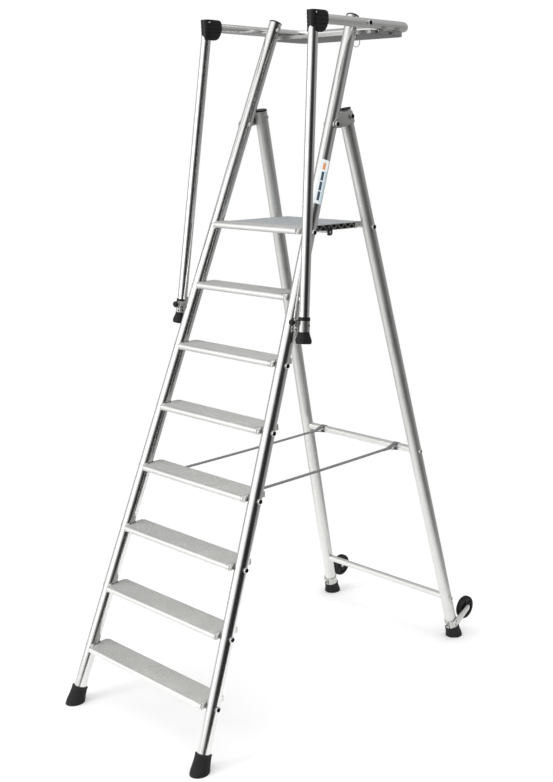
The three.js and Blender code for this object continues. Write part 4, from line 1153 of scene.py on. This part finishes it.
def stitching(at):
    """Four short seams through each sewn-down tail: two along it and two across."""
    piece = Piece(at)
    for neck, way in ((ROD_NECK, 1), (BAR_NECK, -1)):
        under = neck[1] - STRAP_STEP - STRAP_THICK / 2

        def stitch(x, y, half_x, half_y):
            piece.add(box(x - half_x, x + half_x, y - half_y, y + half_y, under - 0.25, under + 0.3))

        for x in (-9.5, 9.5):
            for k in range(9):
                stitch(x, neck[0] + way * (6 + k * 4.1), 0.35, 1.3)
        for k in range(5):
            for along in (6, 39):
                stitch(-7.6 + k * 3.8, neck[0] + way * along, 1.2, 0.35)
    return piece


def strap(side, word):
    path = strap_path()
    at = Matrix.Translation(Vector((side * STRAP_X * MM, 0, 0)))
    w, t = STRAP_WIDTH / 2, STRAP_THICK / 2
    section = [(-t + 0.3, -w), (t - 0.3, -w), (t, -w + 0.4), (t, w - 0.4),
               (t - 0.3, w), (-t + 0.3, w), (-t, w - 0.4), (-t, -w + 0.4)]
    obj = Piece(at).add(sweep([Vector((0, p[0], p[1])) for p in path], section, X)).make(
        f"spread_strap_{word}", "front_frame", "webbing", [WEBBING], (f"strap_{word}",), sharp=60)
    thread = stitching(at).make(f"strap_stitching_{word}", "front_frame", "webbing", [THREAD], (), sharp=60)
    for o in (obj, thread):
        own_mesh(o)


for side, word in SIDES:
    strap(side, word)

# ---------------------------------------------------------------- blank label on the right stile

LABEL_ROWS, LABEL_COLS = 40, 28


def label_ink(i, j):
    """Which film a patch of the label takes: 0 plain, 1 navy, 2 orange, 3 pale blue."""
    if 3 <= i <= 28 and 9 <= j <= 16 and i % 9 != 2:
        return 1
    if 31 <= i <= 36 and 9 <= j <= 16:
        return 2
    return 3 if i < 30 and j > 19 else 0


def label():
    rows, cols, length = LABEL_ROWS, LABEL_COLS, 172.0
    foot = front_axis(1, 2.004)
    verts, faces = [], []
    for r in (25.04, 25.22):
        for i in range(rows + 1):
            for j in range(cols + 1):
                a = math.radians(-24 - 42 + 84 * j / cols)
                verts.append((r * math.cos(a), r * math.sin(a), length * i / rows))
    count = (rows + 1) * (cols + 1)
    for i in range(rows):
        for j in range(cols):
            q = i * (cols + 1) + j
            quad = (q, q + 1, q + cols + 2, q + cols + 1)
            faces.append(tuple(reversed(quad)))
            faces.append(tuple(k + count for k in quad))
    loop = list(range(cols)) + [i * (cols + 1) + cols for i in range(rows)]
    loop += [rows * (cols + 1) + j for j in range(cols, 0, -1)]
    loop += [i * (cols + 1) for i in range(rows, 0, -1)]
    for k in range(len(loop)):
        a, b = loop[k], loop[(k + 1) % len(loop)]
        faces.append((a, b, b + count, a + count))
    piece = Piece(placed(foot, (front_axis(1, 2.163) - foot).normalized())).add((verts, faces))
    for i in range(rows):
        for j in range(cols):
            piece.mats[2 * (i * cols + j) + 1] = label_ink(i, j)
    piece.make("blank_label", "front_frame", "polished_tube",
               [film("label_film", (0.8, 0.84, 0.86)), film("label_navy", (0.05, 0.09, 0.14)),
                film("label_orange", (0.8, 0.3, 0.1)), film("label_pale_blue", (0.5, 0.64, 0.7))],
               (), sharp=40)


label()

# ---------------------------------------------------------------- floor, light, camera

floor_mesh = bpy.data.meshes.new("studio_floor")
reach, rim = 1.35, 128
floor_mesh.from_pydata([(x, y, -0.0005) for x, y in circle(reach, rim)], [], [tuple(range(rim))])
floor_obj = bpy.data.objects.new("studio_floor", floor_mesh)
bpy.context.scene.collection.objects.link(floor_obj)
paper, tree, bsdf = graph("studio_paper", (0.95, 0.95, 0.95), 0.9)
mottle = noise(tree, 3, (1, 1, 1), 2.0)
tint(tree, bsdf, mottle, [(0.3, 0.94), (0.7, 0.96)])
floor_mesh.materials.append(paper)
floor_obj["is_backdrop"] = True

DARK_WAY, DARK_STOPS = (0.94, -0.3, -0.2), [(0.0, 1.0), (0.55, 0.9), (0.78, 0.08), (1.0, 0.05)]
BRIGHT_WAY, BRIGHT_STOPS = (-0.15, -0.98, -0.15), [(0.0, 0.38), (0.35, 0.45), (0.6, 1.0), (1.0, 1.0)]
HEIGHT_STOPS = [(0.0, 0.75), (0.35, 1.0)]
GLOSS_LEVEL, SOFT_LEVEL = 1.15, 1.1


def studio():
    """White to the eye and for soft light; a bright side, a dark side and grey between for gloss."""
    world = bpy.data.worlds.new("studio")
    bpy.context.scene.world = world
    world.use_nodes = True
    tree = world.node_tree
    for n in list(tree.nodes):
        tree.nodes.remove(n)
    out = node(tree, "ShaderNodeOutputWorld")
    path = node(tree, "ShaderNodeLightPath")
    coord = node(tree, "ShaderNodeTexCoord")

    def background(strength, colour=None):
        n = node(tree, "ShaderNodeBackground")
        n.inputs["Color"].default_value = (1, 1, 1, 1)
        n.inputs["Strength"].default_value = strength
        if colour:
            tree.links.new(colour, n.inputs["Color"])
        return n.outputs[0]

    def toward(direction):
        n = node(tree, "ShaderNodeVectorMath", operation="DOT_PRODUCT")
        n.inputs[1].default_value = Vector(direction).normalized()
        tree.links.new(coord.outputs["Generated"], n.inputs[0])
        return n.outputs["Value"]

    def times(a, b):
        n = node(tree, "ShaderNodeMix", data_type="RGBA", blend_type="MULTIPLY")
        n.inputs["Factor"].default_value = 1.0
        tree.links.new(a, n.inputs["A"])
        tree.links.new(b, n.inputs["B"])
        return n.outputs["Result"]

    def choose(which, a, b):
        n = node(tree, "ShaderNodeMixShader")
        tree.links.new(path.outputs[which], n.inputs["Fac"])
        tree.links.new(a, n.inputs[1])
        tree.links.new(b, n.inputs[2])
        return n.outputs[0]

    dark = ramp(tree, toward(DARK_WAY), DARK_STOPS)
    bright = ramp(tree, toward(BRIGHT_WAY), BRIGHT_STOPS)
    height = ramp(tree, toward((0, 0, 1)), HEIGHT_STOPS)
    gloss = background(GLOSS_LEVEL, times(times(dark, bright), height))
    soft = choose("Is Diffuse Ray", gloss, background(SOFT_LEVEL))
    tree.links.new(choose("Is Camera Ray", soft, background(1.0)), out.inputs["Surface"])


studio()


def area(name, place, target, size, power):
    light = bpy.data.lights.new(name, "AREA")
    light.shape = "RECTANGLE"
    light.size, light.size_y = size
    light.energy = power
    obj = bpy.data.objects.new(name, light)
    bpy.context.scene.collection.objects.link(obj)
    obj.location = place
    obj.rotation_mode = "QUATERNION"
    obj.rotation_quaternion = (Vector(target) - Vector(place)).to_track_quat("-Z", "Y")


area("key_panel", (-1.8, -5.5, 3.0), (0, 0, 1.3), (2.4, 4.2), 90)
area("top_panel", (0.3, 0.2, 6.2), (0, 0, 1.0), (4.5, 4.5), 60)

camera = bpy.data.cameras.new("camera")
eye = bpy.data.objects.new("camera", camera)
bpy.context.scene.collection.objects.link(eye)
yaw, pitch, roll = -0.7122, -0.2582, -0.0019
forward = Vector((math.sin(yaw) * math.cos(pitch), math.cos(yaw) * math.cos(pitch), math.sin(pitch)))
right = Vector((math.cos(yaw), -math.sin(yaw), 0))
up = right.cross(forward)
rolled_right = right * math.cos(roll) + up * math.sin(roll)
rolled_up = up * math.cos(roll) - right * math.sin(roll)
pose = Matrix((rolled_right, rolled_up, -forward)).transposed().to_4x4()
pose.translation = Vector((3.3125, -3.0275, 2.2810))
eye.matrix_world = pose
camera.sensor_fit = "VERTICAL"
camera.sensor_height = 36
camera.sensor_width = 36
camera.lens = 50.89
camera.shift_x = -0.1615
camera.shift_y = 0.0385
camera.clip_start, camera.clip_end = 0.05, 200
bpy.context.scene.camera = eye
bpy.context.scene.view_settings.view_transform = "Standard"

bpy.context.view_layer.update()
low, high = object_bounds()
